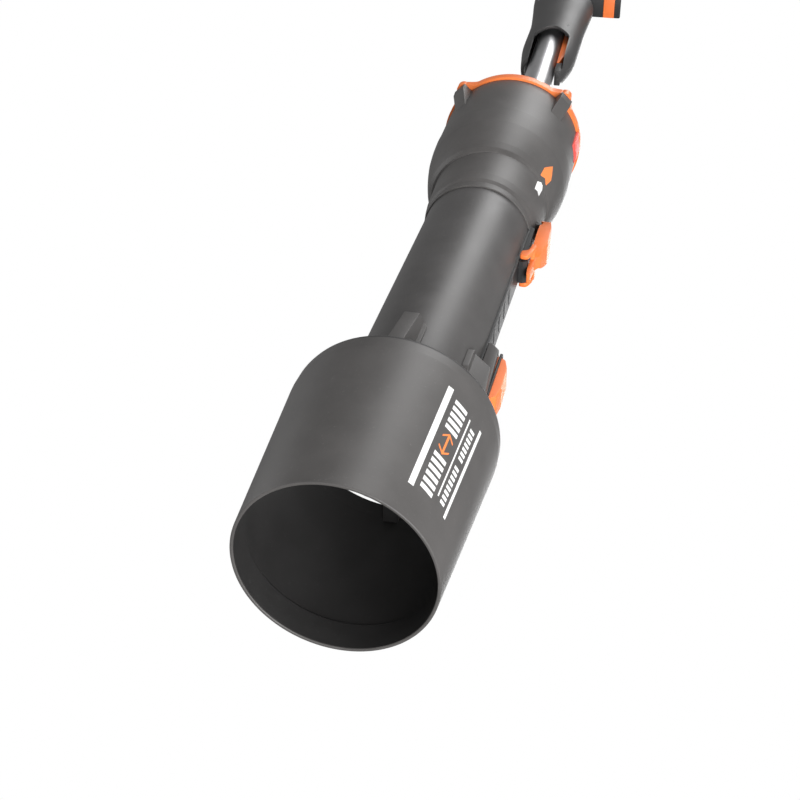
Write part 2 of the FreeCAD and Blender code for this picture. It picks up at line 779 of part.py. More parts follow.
def handle():
    outer = oval_loft("handle_outer", OVALS, "0")
    ends = [("670",) + OVALS[0][1:]] + OVALS[1:-1] + [("1045",) + OVALS[-1][1:]]
    inner = oval_loft("handle_inner", ends, "-shell_wall")
    skin = less("skin", outer, inner)
    bosses = [pin("screw_boss", back, up, "4", "30") for back, up in SCREWS]
    posts = common("screw_posts", joined("boss_bars", bosses), outer)
    keep = joined("skin_bosses", [skin, posts])
    cuts = [
        rod("pole_room", "660", "pole_back + 38", "pole_clear"),
        block("left_window", "660", "748", "9", "-13", "10.5", "18.5"),
        block("right_window", "660", "748", "9", "-13", "10.5", "-18.5"),
        block("top_lip", "660", "690", "30", "-8", "40"),
        block("trigger_slot", "857.5", "889", "trigger_half + 0.5", "-60", "-10"),
        post("lock_hole", "912", "15", "40", "6.5"),
        pin("trigger_pin_hole", "trigger_pin_back", "-trigger_pin_drop", "pin_rim + 0.04", "12.7"),
        pin("lever_pin_hole", "lever_pin_back", "-lever_pin_drop", "pin_rim + 0.04", "18.2"),
    ]
    for back, up in SCREWS:
        cuts.append(pin("screw_hole", back, up, "screw_rim + 0.05", "14.2"))
        cuts.append(pin("screw_recess", back, up, "3.4", "10", "-22"))
    whole = less("handle_whole", keep, joined("handle_cuts", cuts))
    left = block("left_half", "600", "1100", "50", "-90", "90", "50.05")
    right = block("right_half", "600", "1100", "50", "-90", "90", "-50.05")
    common("handle_left", whole, left, POLE)
    common("handle_right", whole, right, POLE)
    group("handle_screws", [handle_screw(back, up) for back, up in SCREWS], POLE)
    pad = oval_loft("pad_outer", OVALS[8:11], "1.3")
    button_room = post("pad_hole", "912", "15", "40", "6.5")
    less("grip_pad", pad, joined("pad_cuts", [outer, button_room]), POLE)
    tube("pole_bush", "770", "828", "pole_rim + 2.6", "bush_bore", POLE)


SCREWS = [("776", "-19.5"), ("840", "20"), ("845", "-21"), ("950", "7"), ("1015", "-16")]


def handle_screw(back, up):
    shank = pin("handle_shank", back, up, "screw_rim", "12.8")
    head = pin("handle_head", back, up, "3", "1", "-13.1")
    return joined("handle_screw", [shank, head])


def lever():
    side = slab("lever_side", [
        ("697", "-pole_rim - 1"),
        ("lever_pin_back + 4", "-pole_rim - 0.6"),
        ("lever_pin_back + 4", "-lever_pin_drop - 3.2"),
        ("740", "-20.5"),
        ("715", "-19"),
        ("697", "-15"),
    ], "15")
    tooth = post("tooth", "tooth_back", "-pole_rim - 2", "-pole_rim + 1.8", "tooth_rim")
    eye = pin("lever_eye", "lever_pin_back", "-lever_pin_drop", "pin_rim + 0.05", "20")
    less("length_lever", joined("lever_solid", [side, tooth]), eye, POLE)
    bar = pin("lever_pin_bar", "lever_pin_back", "-lever_pin_drop", "pin_rim", "17.6")
    group("lever_pin", [bar], POLE)


def trigger():
    side = slab("trigger_side", [
        ("trigger_front", "-20"),
        ("trigger_front", "-trigger_tip + 1.5"),
        ("trigger_front + 2", "-trigger_tip"),
        ("trigger_front + 8", "-trigger_tip + 3"),
        ("trigger_front + 13", "-44"),
        ("trigger_front + 16", "-30"),
        ("trigger_front + 17", "-15"),
        ("trigger_front + 8", "-12.5"),
        ("trigger_front + 2", "-14"),
    ], "2 * trigger_half")
    groove = block("inlay_room", "trigger_front - 1", "trigger_front + 1.2", "trigger_half + 1",
                   "-inlay_low", "-inlay_high")
    eye = pin("trigger_eye", "trigger_pin_back", "-trigger_pin_drop", "pin_rim + 0.05", "20")
    less("trigger", side, joined("trigger_cuts", [groove, eye]), POLE)
    band = block("band", "trigger_front", "trigger_front + 1.15", "trigger_half",
                 "-inlay_low + 0.05", "-inlay_high - 0.05")
    group("trigger_inlay", [band], POLE)
    bar = pin("trigger_pin_bar", "trigger_pin_back", "-trigger_pin_drop", "pin_rim", "12.4")
    group("trigger_pin", [bar], POLE)
    plunger = post("lock_cap", "912", "20", "29", "6")
    soft = post("lock_stem", "912", "14", "20.5", "3.5")
    joined("lock_button", [plunger, soft], POLE)
    box = block("switch_box", "892", "906", "7", "-6", "8")
    stub = block("switch_stub", "888.5", "893", "2.5", "-3", "3")
    joined("trigger_switch", [box, stub], POLE)
    board = block("board", "995", "1032", "15", "-2", "-0.4")
    chips = [block("chip", back, back + " + 6", "3", "-0.5", "3", side)
             for back, side in (("998", "-8"), ("998", "4"), ("1008", "-2"), ("1020", "8"))]
    joined("control_board", [board] + chips, POLE)


# ---------------------------------------------------------------- dock and battery

def dock():
    plate = block("dock_plate", "1037.1", "dock_face", "36", "-62", "37")
    lug = block("eye_lug", "1038", "dock_face", "4", "36", "56")
    wide = block("slot_wide", "1041", "1046", "rail_half_wide + 0.4", "-70", "30")
    neck = block("slot_neck", "1045", "dock_face + 1", "rail_half_neck + 0.4", "-70", "30")
    eye = pin("eye_bore", "1044", "48", "eye_rim - 0.5", "10")
    less("battery_dock", joined("dock_solid", [plate, lug]), joined("dock_cuts", [wide, neck, eye]), POLE)
    blades = [block("terminal", "1042.5", "1044.5", "1", "21", "29.95", side)
              for side in ("-12", "-4", "4", "12")]
    group("dock_terminals", blades, POLE)


def battery():
    shell = block("pack_solid", "pack_front", "pack_back", "pack_half", "-pack_bottom", "pack_top")
    room = block("pack_room", "pack_front + 2.5", "pack_back - 2.5", "pack_half - 2.5",
                 "-pack_bottom + 2.5", "pack_top - 2.5")
    neck = block("pack_neck", "1045.6", "pack_front + 1", "rail_half_neck", "-60", "20")
    head = block("pack_head", "1041.4", "1045.7", "rail_half_wide", "-60", "20")
    well = block("latch_well", "1066.8", "1083.2", "10.2", "pack_top - 5", "pack_top + 5")
    hollow = less("pack_hollow", shell, joined("pack_cuts", [room, well]))
    joined("battery_case", [hollow, neck, head], POLE)
    cells = [pin("cell", back, up, "9", "32.5")
             for back in ("1064", "1085") for up in ("-53.5", "-34.8", "-16.1", "2.6")]
    group("battery_cells", cells, POLE)
    cap = block("latch_cap", "1067.2", "1082.8", "9.8", "pack_top - 3", "pack_top + 3")
    group("battery_latch", [cap], POLE)


nozzle()
blow_tube()
latch()
fan_housing()
flange()
motor()
impeller()
guard()
pole()
handle()
lever()
trigger()
dock()
battery()
doc.recompute()

NODES = """
nozzle_shroud nozzle_button button_spring blow_tube tube_seal latch_bracket latch_pin tube_latch
fan_housing flange_ring flange_screws stator_vanes tail_cone motor_front_plate motor_stator
motor_windings motor_bearings motor_rotor motor_shaft impeller impeller_spinner impeller_nut
intake_guard pole_socket socket_screw pole power_lead handle_left handle_right handle_screws
grip_pad pole_bush length_lever lever_pin trigger trigger_inlay trigger_pin lock_button
trigger_switch control_board battery_dock dock_terminals battery_case battery_cells battery_latch
""".split()

for item in doc.Objects:
    if "Invalid" in item.State or "Error" in item.State:
        raise RuntimeError("%s (%s) failed: %s" % (item.Name, item.Label, item.State))

os.makedirs("parts", exist_ok=True)
for node in NODES:
    shape = doc.getObjectsByLabel(node)[0].Shape
    if shape.isNull() or not shape.isValid():
        raise RuntimeError(node + " has no valid shape")
    shape.exportStep("parts/" + node + ".step")
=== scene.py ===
import bpy
import bmesh
import math
from mathutils import Matrix, Vector

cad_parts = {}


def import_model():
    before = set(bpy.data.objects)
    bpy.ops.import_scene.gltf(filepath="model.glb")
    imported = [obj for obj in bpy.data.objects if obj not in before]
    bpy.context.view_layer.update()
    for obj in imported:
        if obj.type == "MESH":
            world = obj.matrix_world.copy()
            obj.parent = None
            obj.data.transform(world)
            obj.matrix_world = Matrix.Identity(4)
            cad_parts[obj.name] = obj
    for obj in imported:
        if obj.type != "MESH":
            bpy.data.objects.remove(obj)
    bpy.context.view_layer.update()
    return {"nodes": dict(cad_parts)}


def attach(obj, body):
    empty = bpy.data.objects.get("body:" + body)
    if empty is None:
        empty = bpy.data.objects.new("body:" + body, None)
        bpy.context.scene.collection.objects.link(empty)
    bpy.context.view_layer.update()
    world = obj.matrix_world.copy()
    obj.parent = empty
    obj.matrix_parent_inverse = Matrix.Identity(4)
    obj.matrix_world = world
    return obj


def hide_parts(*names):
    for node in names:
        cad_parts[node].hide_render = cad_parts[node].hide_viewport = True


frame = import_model()
MM = 0.001

# The fan unit and the pole lean up towards the back about points on the tool's axis.
TOOL = Matrix.Identity(4)


def leaning(hinge, degrees):
    there = Matrix.Translation((-hinge * MM, 0, 0))
    return there @ Matrix.Rotation(math.radians(degrees), 4, "Y") @ there.inverted()


FAN = leaning(370, 1.2)
POLE = leaning(585, 2.45)

# Shared sizes in mm; a place is a distance behind the mouth.
MOUTH_RIM = 58.5        # shroud's outer radius at the mouth
SHROUD_RIM = 65.35      # and where it ends
SHROUD_LONG = 121
PRINT_MIDDLE = -51.0    # degrees round from the left side, upwards positive
BADGE_MIDDLE = -61
EAR_REACH = 58.3        # from the fan's axis to the flange screws
EAR_RIM = 5
QUARTERS = [45 + 90 * index for index in range(4)]
POLE_BORE = 12.9
LOCK_BACK = 912
HANDLE_BACK = 1036.9


# ---------------------------------------------------------------- materials

def node_material(name):
    mat = bpy.data.materials.new(name)
    mat.use_nodes = True
    tree = mat.node_tree
    shader = tree.nodes["Principled BSDF"]
    return mat, tree, shader


def noise(tree, coords, scale, detail=3.0, rough=0.55):
    node = tree.nodes.new("ShaderNodeTexNoise")
    node.inputs["Scale"].default_value = scale
    node.inputs["Detail"].default_value = detail
    node.inputs["Roughness"].default_value = rough
    tree.links.new(coords, node.inputs["Vector"])
    return node.outputs["Fac"]


def ramp(tree, fac, stops):
    node = tree.nodes.new("ShaderNodeValToRGB")
    ends = node.color_ramp.elements
    for index, (place, colour) in enumerate(stops):
        stop = ends[index] if index < 2 else ends.new(place)
        stop.position = place
        stop.color = (*colour, 1)
    tree.links.new(fac, node.inputs["Fac"])
    return node.outputs["Color"]


def spread(tree, fac, low, high):
    node = tree.nodes.new("ShaderNodeMapRange")
    node.inputs["To Min"].default_value = low
    node.inputs["To Max"].default_value = high
    tree.links.new(fac, node.inputs["Value"])
    return node.outputs["Result"]


def bump(tree, shader, fac, strength, distance, below=None):
    node = tree.nodes.new("ShaderNodeBump")
    node.inputs["Strength"].default_value = strength
    node.inputs["Distance"].default_value = distance
    tree.links.new(fac, node.inputs["Height"])
    if below is not None:
        tree.links.new(below, node.inputs["Normal"])
    tree.links.new(node.outputs["Normal"], shader.inputs["Normal"])
    return node.outputs["Normal"]


def mixed(tree, fac, first, second):
    node = tree.nodes.new("ShaderNodeMix")
    node.data_type = "RGBA"
    if isinstance(fac, float):
        node.inputs["Factor"].default_value = fac
    else:
        tree.links.new(fac, node.inputs["Factor"])
    for socket, colour in (("A", first), ("B", second)):
        place = [i for i in node.inputs if i.name == socket and i.type == "RGBA"][0]
        if isinstance(colour, tuple):
            place.default_value = (*colour, 1)
        else:
            tree.links.new(colour, place)
    return [o for o in node.outputs if o.type == "RGBA"][0]


def moulded(name, colour, rough, grain=2600, grain_depth=0.02, wear=0.35, coat=0.0, blotch=0.12):
    """Moulded plastic: a fine spark-eroded grain, faint flow mottling and paler rubbed edges."""
    mat, tree, shader = node_material(name)
    coords = tree.nodes.new("ShaderNodeTexCoord").outputs["Object"]
    fine = noise(tree, coords, grain, 2.0)
    broad = noise(tree, coords, 38, 4.0)
    dust = noise(tree, coords, 420, 3.0, 0.7)
    dark = tuple(c * (1 - blotch) for c in colour)
    pale = tuple(min(1, c * (1 + blotch)) for c in colour)
    base = ramp(tree, broad, [(0.3, dark), (0.7, pale)])
    specks = ramp(tree, dust, [(0.62, (0, 0, 0)), (0.80, (1, 1, 1))])
    dusty = tuple(min(1, c * 1.35 + 0.012) for c in colour)
    base = mixed(tree, specks, base, dusty)
    edge = ramp(tree, tree.nodes.new("ShaderNodeNewGeometry").outputs["Pointiness"],
                [(0.53, (0, 0, 0)), (0.62, (wear, wear, wear))])
    rubbed = tuple(min(1, c * 1.5 + 0.03) for c in colour)
    base = mixed(tree, edge, base, rubbed)
    tree.links.new(base, shader.inputs["Base Color"])
    tree.links.new(spread(tree, broad, rough - 0.05, rough + 0.06), shader.inputs["Roughness"])
    low = bump(tree, shader, fine, 0.35, grain_depth * MM)
    bump(tree, shader, dust, 0.12, 0.03 * MM, low)
    shader.inputs["Specular IOR Level"].default_value = 0.5
    shader.inputs["Coat Weight"].default_value = coat
    shader.inputs["Coat Roughness"].default_value = 0.25
    return mat


def metal(name, colour, rough, streak=(1, 60, 60), anisotropy=0.0):
    """Drawn or machined metal with fine lines along the tool."""
    mat, tree, shader = node_material(name)
    coords = tree.nodes.new("ShaderNodeTexCoord").outputs["Object"]
    scale = tree.nodes.new("ShaderNodeMapping")
    scale.inputs["Scale"].default_value = streak
    tree.links.new(coords, scale.inputs["Vector"])
    lines = noise(tree, scale.outputs["Vector"], 60, 4.0, 0.7)
    cloud = noise(tree, coords, 55, 3.0)
    dark = tuple(c * 0.9 for c in colour)
    pale = tuple(min(1, c * 1.08) for c in colour)
    tree.links.new(ramp(tree, cloud, [(0.3, dark), (0.7, pale)]), shader.inputs["Base Color"])
    tree.links.new(spread(tree, lines, rough - 0.07, rough + 0.1), shader.inputs["Roughness"])
    bump(tree, shader, lines, 0.12, 0.01 * MM)
    shader.inputs["Metallic"].default_value = 1.0
    shader.inputs["Anisotropic"].default_value = anisotropy
    return mat


def rubber(name, colour, pattern=True):
    """Soft rubber with a moulded diamond pattern."""
    mat, tree, shader = node_material(name)
    coords = tree.nodes.new("ShaderNodeTexCoord").outputs["Object"]
    fine = noise(tree, coords, 1800, 2.0)
    cloud = noise(tree, coords, 45, 3.0)
    dark = tuple(c * 0.8 for c in colour)
    pale = tuple(c * 1.3 for c in colour)
    tree.links.new(ramp(tree, cloud, [(0.3, dark), (0.7, pale)]), shader.inputs["Base Color"])
    tree.links.new(spread(tree, cloud, 0.72, 0.86), shader.inputs["Roughness"])
    low = bump(tree, shader, fine, 0.4, 0.02 * MM)
    if pattern:
        for turn in (45, -45):
            place = tree.nodes.new("ShaderNodeMapping")
            place.inputs["Rotation"].default_value = (0, math.radians(turn), 0)
            tree.links.new(coords, place.inputs["Vector"])
            wave = tree.nodes.new("ShaderNodeTexWave")
            wave.inputs["Scale"].default_value = 75
            tree.links.new(place.outputs["Vector"], wave.inputs["Vector"])
            low = bump(tree, shader, wave.outputs["Fac"], 0.5, 0.25 * MM, low)
    return mat


def printed(name, colour):
    """Pad-printed ink with small worn pinholes."""
    mat, tree, shader = node_material(name)
    coords = tree.nodes.new("ShaderNodeTexCoord").outputs["Object"]
    holes = noise(tree, coords, 900, 4.0, 0.7)
    worn = tuple(c * 0.72 for c in colour)
    tree.links.new(ramp(tree, holes, [(0.26, worn), (0.40, colour)]), shader.inputs["Base Color"])
    tree.links.new(spread(tree, holes, 0.42, 0.62), shader.inputs["Roughness"])
    bump(tree, shader, holes, 0.15, 0.01 * MM)
    return mat


BODY = (0.078, 0.074, 0.072)
MATS = {
    "body": moulded("body_plastic", BODY, 0.47),
    # Much darker plastic for the faces inside the shroud: painted shade for the shadow in its hollow.
    "painted_shade_inside": moulded("inner_face_painted_shade", (0.022, 0.0212, 0.021), 0.56, wear=0.1),
    "tube": moulded("tube_plastic", (0.07, 0.067, 0.066), 0.44),
    "grip_shell": moulded("handle_plastic", (0.036, 0.035, 0.035), 0.46, wear=0.25),
    "black": moulded("black_plastic", (0.016, 0.016, 0.017), 0.5, wear=0.2),
    "orange": moulded("orange_plastic", (0.93, 0.205, 0.045), 0.40, grain_depth=0.008, wear=0.15,
                      coat=0.12, blotch=0.05),
    "coral": moulded("coral_plastic", (0.86, 0.09, 0.07), 0.42, grain_depth=0.008, wear=0.15, blotch=0.05),
    "pole": metal("anodised_aluminium", (0.56, 0.56, 0.57), 0.34, (0.6, 60, 60), 0.4),
    "steel": metal("bright_steel", (0.48, 0.48, 0.50), 0.26),
    "iron": metal("laminated_iron", (0.16, 0.16, 0.17), 0.45, (60, 1, 1)),
    "copper": metal("copper_wire", (0.70, 0.30, 0.14), 0.33, (60, 2, 2)),
    "brass": metal("brass_contact", (0.72, 0.52, 0.20), 0.28),
    "grip": rubber("grip_rubber", (0.028, 0.028, 0.029)),
    "seal": rubber("seal_rubber", (0.02, 0.02, 0.021), False),
    "white_ink": printed("white_ink", (0.86, 0.86, 0.85)),
    "orange_ink": printed("orange_ink", (0.90, 0.24, 0.06)),
    "board": moulded("circuit_board", (0.02, 0.13, 0.05), 0.35, wear=0.05),
    "wrap": moulded("cell_wrap", (0.05, 0.16, 0.30), 0.30, wear=0.05),
}
NODE_MATS = {
    "button_spring": "steel", "tube_seal": "seal", "latch_bracket": "black", "latch_pin": "steel",
    "flange_screws": "steel", "stator_vanes": "black", "tail_cone": "black",
    "motor_front_plate": "iron", "motor_stator": "iron", "motor_windings": "copper",
    "motor_bearings": "steel", "motor_rotor": "iron", "motor_shaft": "steel", "impeller": "black",
    "impeller_spinner": "black", "impeller_nut": "steel", "socket_screw": "steel",
    "power_lead": "seal", "handle_screws": "steel", "pole_bush": "black", "lever_pin": "steel",
    "trigger_pin": "steel", "trigger_switch": "black", "control_board": "board",
    "dock_terminals": "brass", "battery_cells": "wrap",
}


def smooth(obj, degrees=32):
    for face in obj.data.polygons:
        face.use_smooth = True
    obj.data.set_sharp_from_angle(angle=math.radians(degrees))


def paint(obj, key):
    obj.data.materials.clear()
    obj.data.materials.append(MATS[key])


for label, key in NODE_MATS.items():
    for part_slot in frame["nodes"][label].material_slots:
        part_slot.link = "DATA"
    paint(frame["nodes"][label], key)


# ---------------------------------------------------------------- mesh helpers

def rounded(corners, radius, steps=4, closed=True):
    """The outline with each corner replaced by a small arc. A corner may carry its own radius."""
    places = [Vector(c[:2]) for c in corners]
    sizes = [c[2] if len(c) > 2 else radius for c in corners]
    result = []
    count = len(places)
    for index, here in enumerate(places):
        if not closed and index in (0, count - 1):
            result.append(tuple(here))
            continue
        before = places[index - 1] - here
        after = places[(index + 1) % count] - here
        turn = before.angle(after)
        if sizes[index] <= 0 or math.pi - turn < 0.05:
            result.append(tuple(here))
            continue
        reach = sizes[index] / math.tan(turn / 2)
        reach = min(reach, before.length * 0.48, after.length * 0.48)
        first = here + before.normalized() * reach
        last = here + after.normalized() * reach
        for step in range(steps + 1):
            t = step / steps
            result.append(tuple(first * (1 - t) ** 2 + here * 2 * t * (1 - t) + last * t ** 2))
    return result


def new_object(name, verts, faces, key, place=TOOL, degrees=32):
    mesh = bpy.data.meshes.new(name)
    mesh.from_pydata([tuple(place @ Vector(v)) for v in verts], [], faces)
    mesh.update()
    form = bmesh.new()
    form.from_mesh(mesh)
    bmesh.ops.recalc_face_normals(form, faces=form.faces)
    form.to_mesh(mesh)
    form.free()
    obj = bpy.data.objects.new(name, mesh)
    bpy.context.collection.objects.link(obj)
    paint(obj, key)
    smooth(obj, degrees)
    return obj


def lathe(name, profile, key, place=TOOL, segments=144, closed=True):
    """Turn an outline of (distance back, radius) in mm about the X axis."""
    verts = []
    faces = []
    count = len(profile)
    for step in range(segments):
        angle = math.tau * step / segments
        for back, reach in profile:
            verts.append((-back * MM, reach * MM * math.sin(angle), reach * MM * math.cos(angle)))
    for step in range(segments):
        here = step * count
        there = (step + 1) % segments * count
        for index in range(count if closed else count - 1):
            following = (index + 1) % count
            faces.append((here + index, here + following, there + following, there + index))
    obj = new_object(name, verts, faces, key, place)
    weld(obj)
    return obj


def weld(obj, distance=1e-6):
    form = bmesh.new()
    form.from_mesh(obj.data)
    bmesh.ops.remove_doubles(form, verts=form.verts, dist=distance)
    form.to_mesh(obj.data)
    form.free()


def prism(name, corners, low, high, key, place=TOOL, axis="Y", edge=0.5, segments=3):
    """An outline in mm given a depth along one axis, with softened edges.
    Axis Y takes (distance back, height), X takes (left, height), Z takes (distance back, left)."""
    def at(a, b, c):
        if axis == "Y":
            return (-a * MM, c * MM, b * MM)
        if axis == "X":
            return (-c * MM, a * MM, b * MM)
        return (-a * MM, b * MM, c * MM)
    count = len(corners)
    verts = [at(a, b, low) for a, b in corners] + [at(a, b, high) for a, b in corners]
    faces = [tuple(range(count)), tuple(range(count, 2 * count))]
    for index in range(count):
        following = (index + 1) % count
        faces.append((index, following, count + following, count + index))
    obj = new_object(name, verts, faces, key, place)
    if edge:
        soften(obj, edge, segments)
    return obj


def soften(obj, width, segments=3, degrees=35):
    change = obj.modifiers.new("soft_edges", "BEVEL")
    change.width = width * MM
    change.segments = segments
    change.limit_method = "ANGLE"
    change.angle_limit = math.radians(degrees)
    apply_modifiers(obj)
    smooth(obj)


def apply_modifiers(obj):
    graph = bpy.context.evaluated_depsgraph_get()
    graph.update()
    mesh = bpy.data.meshes.new_from_object(obj.evaluated_get(graph), depsgraph=graph)
    old = obj.data
    obj.modifiers.clear()
    obj.data = mesh
    bpy.data.meshes.remove(old)


def carve(obj, cutters, operation="DIFFERENCE"):
    """Cut or join closed pieces, and drop the tools."""
    for cutter in cutters:
        change = obj.modifiers.new("carve", "BOOLEAN")
        change.operation = operation
        change.solver = "EXACT"
        change.object = cutter
        apply_modifiers(obj)
        bpy.data.objects.remove(cutter)
    smooth(obj)
    return obj


def rect(front, back, low, high, radius=0.0, steps=4):
    corners = [(front, low), (back, low), (back, high), (front, high)]
    return rounded(corners, radius, steps) if radius else corners


def ellipse(across, up, half_across, half_up, count):
    return [(across + half_across * math.cos(math.tau * k / count),
             up + half_up * math.sin(math.tau * k / count)) for k in range(count)]


def about_axis(obj, degrees, place=TOOL):
    turn = place @ Matrix.Rotation(math.radians(degrees), 4, "X") @ place.inverted()
    obj.data.transform(turn)
    return obj


def settle(piece, body, key, *nodes):
    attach(piece, body)
    if nodes:
        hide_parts(*nodes)
    return piece


# ---------------------------------------------------------------- nozzle

def nozzle():
    profile = rounded([
        (0.0, 56.5, 0.8), (0.0, MOUTH_RIM, 0.8), (SHROUD_LONG, SHROUD_RIM, 1.5), (123, 65.4, 1),
        (131, 65.05, 1.2),
        (134, 64.3, 0.9), (134, 62.25, 0.6), (122, 63.2, 3), (21, 57.45, 0.4), (19.6, 56.5, 0.4),
    ], 0.6, 5)
    shell = lathe("nozzle_shell", profile, "body", segments=216)
    shell.data.materials.append(MATS["painted_shade_inside"])
    # Faces on the shroud's inner wall take the darker material, as painted shade.
    for face in shell.data.polygons:
        centre = face.center
        reach = math.hypot(centre.y, centre.z) * 1000
        back = -centre.x * 1000
        if 3 < back < 133 and reach < 58.5 + back * 0.0566 - 1.1:
            face.material_index = 1
    settle(shell, "nozzle", "body", "nozzle_shroud")
    arm = [(121, 39.0), (193, 39.0, 0.6), (191.5, 41), (179, 53.8, 3.5), (159, 57.4), (136, 61.6, 2),
           (130, 63.2, 0), (119, 62.7, 0), (121, 43.5, 3)]
    for index, degrees in enumerate((0, 90, -90)):
        piece = prism("nozzle_strut_%d" % index, rounded(arm, 0.8), -4.75, 4.75, "body", edge=0.9)
        about_axis(piece, degrees)
        piece.data.materials.append(MATS["painted_shade_inside"])
        # Strut faces inside the shroud take the darker material, as painted shade.
        for face in piece.data.polygons:
            if -face.center.x < 0.1335:
                face.material_index = 1
        settle(piece, "nozzle", "body")
        foot = [(113, -7.6), (186, -7.6, 3), (191, -4), (191, 4), (186, 7.6, 3), (113, 7.6)]
        base = prism("nozzle_strut_foot_%d" % index, rounded(foot, 1), 39.05, 40.6, "body", axis="Z",
                     edge=0.5)
        about_axis(base, degrees)
        settle(base, "nozzle", "body")
    sleeve = lathe("nozzle_sleeve", rounded([(113, 40.7), (113, 42.5), (132, 42.5), (132, 40.7)], 0.5),
                   "body")
    settle(sleeve, "nozzle", "body")
    key_arm()
    pod()
    grip_ribs()


def key_arm():
    side = [(113, -30), (200.5, -30), (200, -34.5, 1), (184.6, -48.3, 2.2), (160, -50, 3),
            (134, -52.6, 2), (128.5, -61.8, 0), (101, -61.0, 0), (112, -43.5, 3)]
    arm = prism("nozzle_key_arm", rounded(side, 0.8), -17, 17, "body", edge=1.0)
    bore = lathe("bore_tool", [(60, 0.01), (60, 39.3), (240, 39.3), (240, 0.01)], "body", segments=120)
    way = prism("way_tool", rect(60, 240, -39.9, 0), -9.5, 9.5, "body", edge=0)
    carve(arm, [bore, way])
    settle(arm, "nozzle", "body")
    for side_sign in (1, -1):
        foot = rounded([(172, 16.8), (197, 16.8, 1), (199, 19), (194, 22.4, 2), (176, 22.4, 2),
                        (172, 19)], 1)
        flange = prism("nozzle_arm_foot_%s" % ("l" if side_sign > 0 else "r"),
                       [(a, b * side_sign) for a, b in foot], -36.2, -31.4, "body", axis="Z", edge=0.5)
        trim = lathe("trim_tool", [(60, 0.01), (60, 39.1), (240, 39.1), (240, 0.01)], "body",
                     segments=120)
        carve(flange, [trim])
        settle(flange, "nozzle", "body")


def pod():
    side = [(151, -39.9), (221.8, -39.9, 1), (221.8, -42.5, 1.5), (215, -48, 2.5), (152, -50.2, 1)]
    body = prism("button_pod", rounded(side, 1), -11, 11, "body", edge=1.0)
    well = prism("well_tool", rect(163.5, 212.5, -70, -41.7, 2.5), -8.45, 8.45, "body", edge=0)
    carve(body, [well])
    settle(body, "nozzle", "body")
    lip = [(-9.9, 161.8), (9.9, 161.8), (9.9, 214.2), (-9.9, 214.2)]
    ring = prism("button_surround", rounded([(b, a) for a, b in lip], 3), -50.9, -49.2, "black",
                 axis="Z", edge=0.5)
    hole = prism("hole_tool", rounded([(163.5, -8.45), (212.5, -8.45), (212.5, 8.45), (163.5, 8.45)],
                                      2.5), -60, -40, "black", axis="Z", edge=0)
    carve(ring, [hole])
    settle(ring, "nozzle", "black")
    crown = [(164.1, -44.6), (211.9, -44.6), (211.9, -49, 1.5), (208.5, -53.5, 4), (200, -55.9, 6),
             (178, -56.4, 8), (168, -55.0, 4), (164.1, -51, 3)]
    cap = prism("nozzle_button_cap", rounded(crown, 0.6, 6), -7.95, 7.95, "orange", edge=1.6, segments=5)
    for step in range(5):
        back = 178 + step * 5
        cut = prism("notch_tool", rounded([(back, -60), (back + 1.6, -60), (back + 1.6, -55.6, 0.7),
                                           (back, -55.6, 0.7)], 0), -6.2, 6.2, "orange", edge=0)
        carve(cap, [cut])
    settle(cap, "nozzle_release", "orange", "nozzle_button")


def grip_ribs():
    """A shallow bead just behind the shroud's mouth and one in front of its rear lip."""
    for index, (back, reach) in enumerate(((0.9, 58.42), (123.4, 65.22))):
        bead = rounded([(back, reach), (back + 1.6, reach + 0.09), (back + 1.6, reach - 0.6),
                        (back, reach - 0.6)], 0.2)
        ring = lathe("shroud_bead_%d" % index, bead, "body", segments=216)
        settle(ring, "nozzle", "body")


# ---------------------------------------------------------------- the print on the nozzle

def sliced(outline, ranges, step):
    """A flat outline cut into a grid, so that it can be bent round the body."""
    form = bmesh.new()
    form.faces.new([form.verts.new((a, b, 0)) for a, b in outline])
    for axis, (low, high) in enumerate(ranges):
        place = low + step
        while place < high:
            normal = (1, 0, 0) if axis == 0 else (0, 1, 0)
            point = (place, 0, 0) if axis == 0 else (0, place, 0)
            bmesh.ops.bisect_plane(form, geom=form.verts[:] + form.edges[:] + form.faces[:],
                                   plane_co=point, plane_no=normal)
            place += step
    return form


def print_patch(name, outline, key, lift=0.06, middle=PRINT_MIDDLE):
    """A flat mark laid on the shroud. Outline is (distance back, way round in mm), upwards positive."""
    mesh = bpy.data.meshes.new(name)
    ranges = [(min(c[i] for c in outline), max(c[i] for c in outline)) for i in (0, 1)]
    form = sliced(outline, ranges, 2.0)
    for vert in form.verts:
        back, round_mm = vert.co.x, vert.co.y
        reach = MOUTH_RIM + back * (SHROUD_RIM - MOUTH_RIM) / SHROUD_LONG + lift
        angle = math.radians(middle) + round_mm / 62.5
        vert.co = (-back * MM, reach * MM * math.cos(angle), reach * MM * math.sin(angle))
    bmesh.ops.recalc_face_normals(form, faces=form.faces)
    form.to_mesh(mesh)
    form.free()
    obj = bpy.data.objects.new(name, mesh)
    bpy.context.collection.objects.link(obj)
    paint(obj, key)
    smooth(obj)
    for face in mesh.polygons:
        if face.normal.dot(Vector((0, face.center.y, face.center.z))) < 0:
            face.flip()
    settle(obj, "nozzle", key)
    return obj


def bar(front, back, low, high):
    return [(front, low), (back, low), (back, high), (front, high)]


def slanted(front, back, low, high, lean=1.0):
    return [(front, low), (back, low), (back + lean, high), (front + lean, high)]


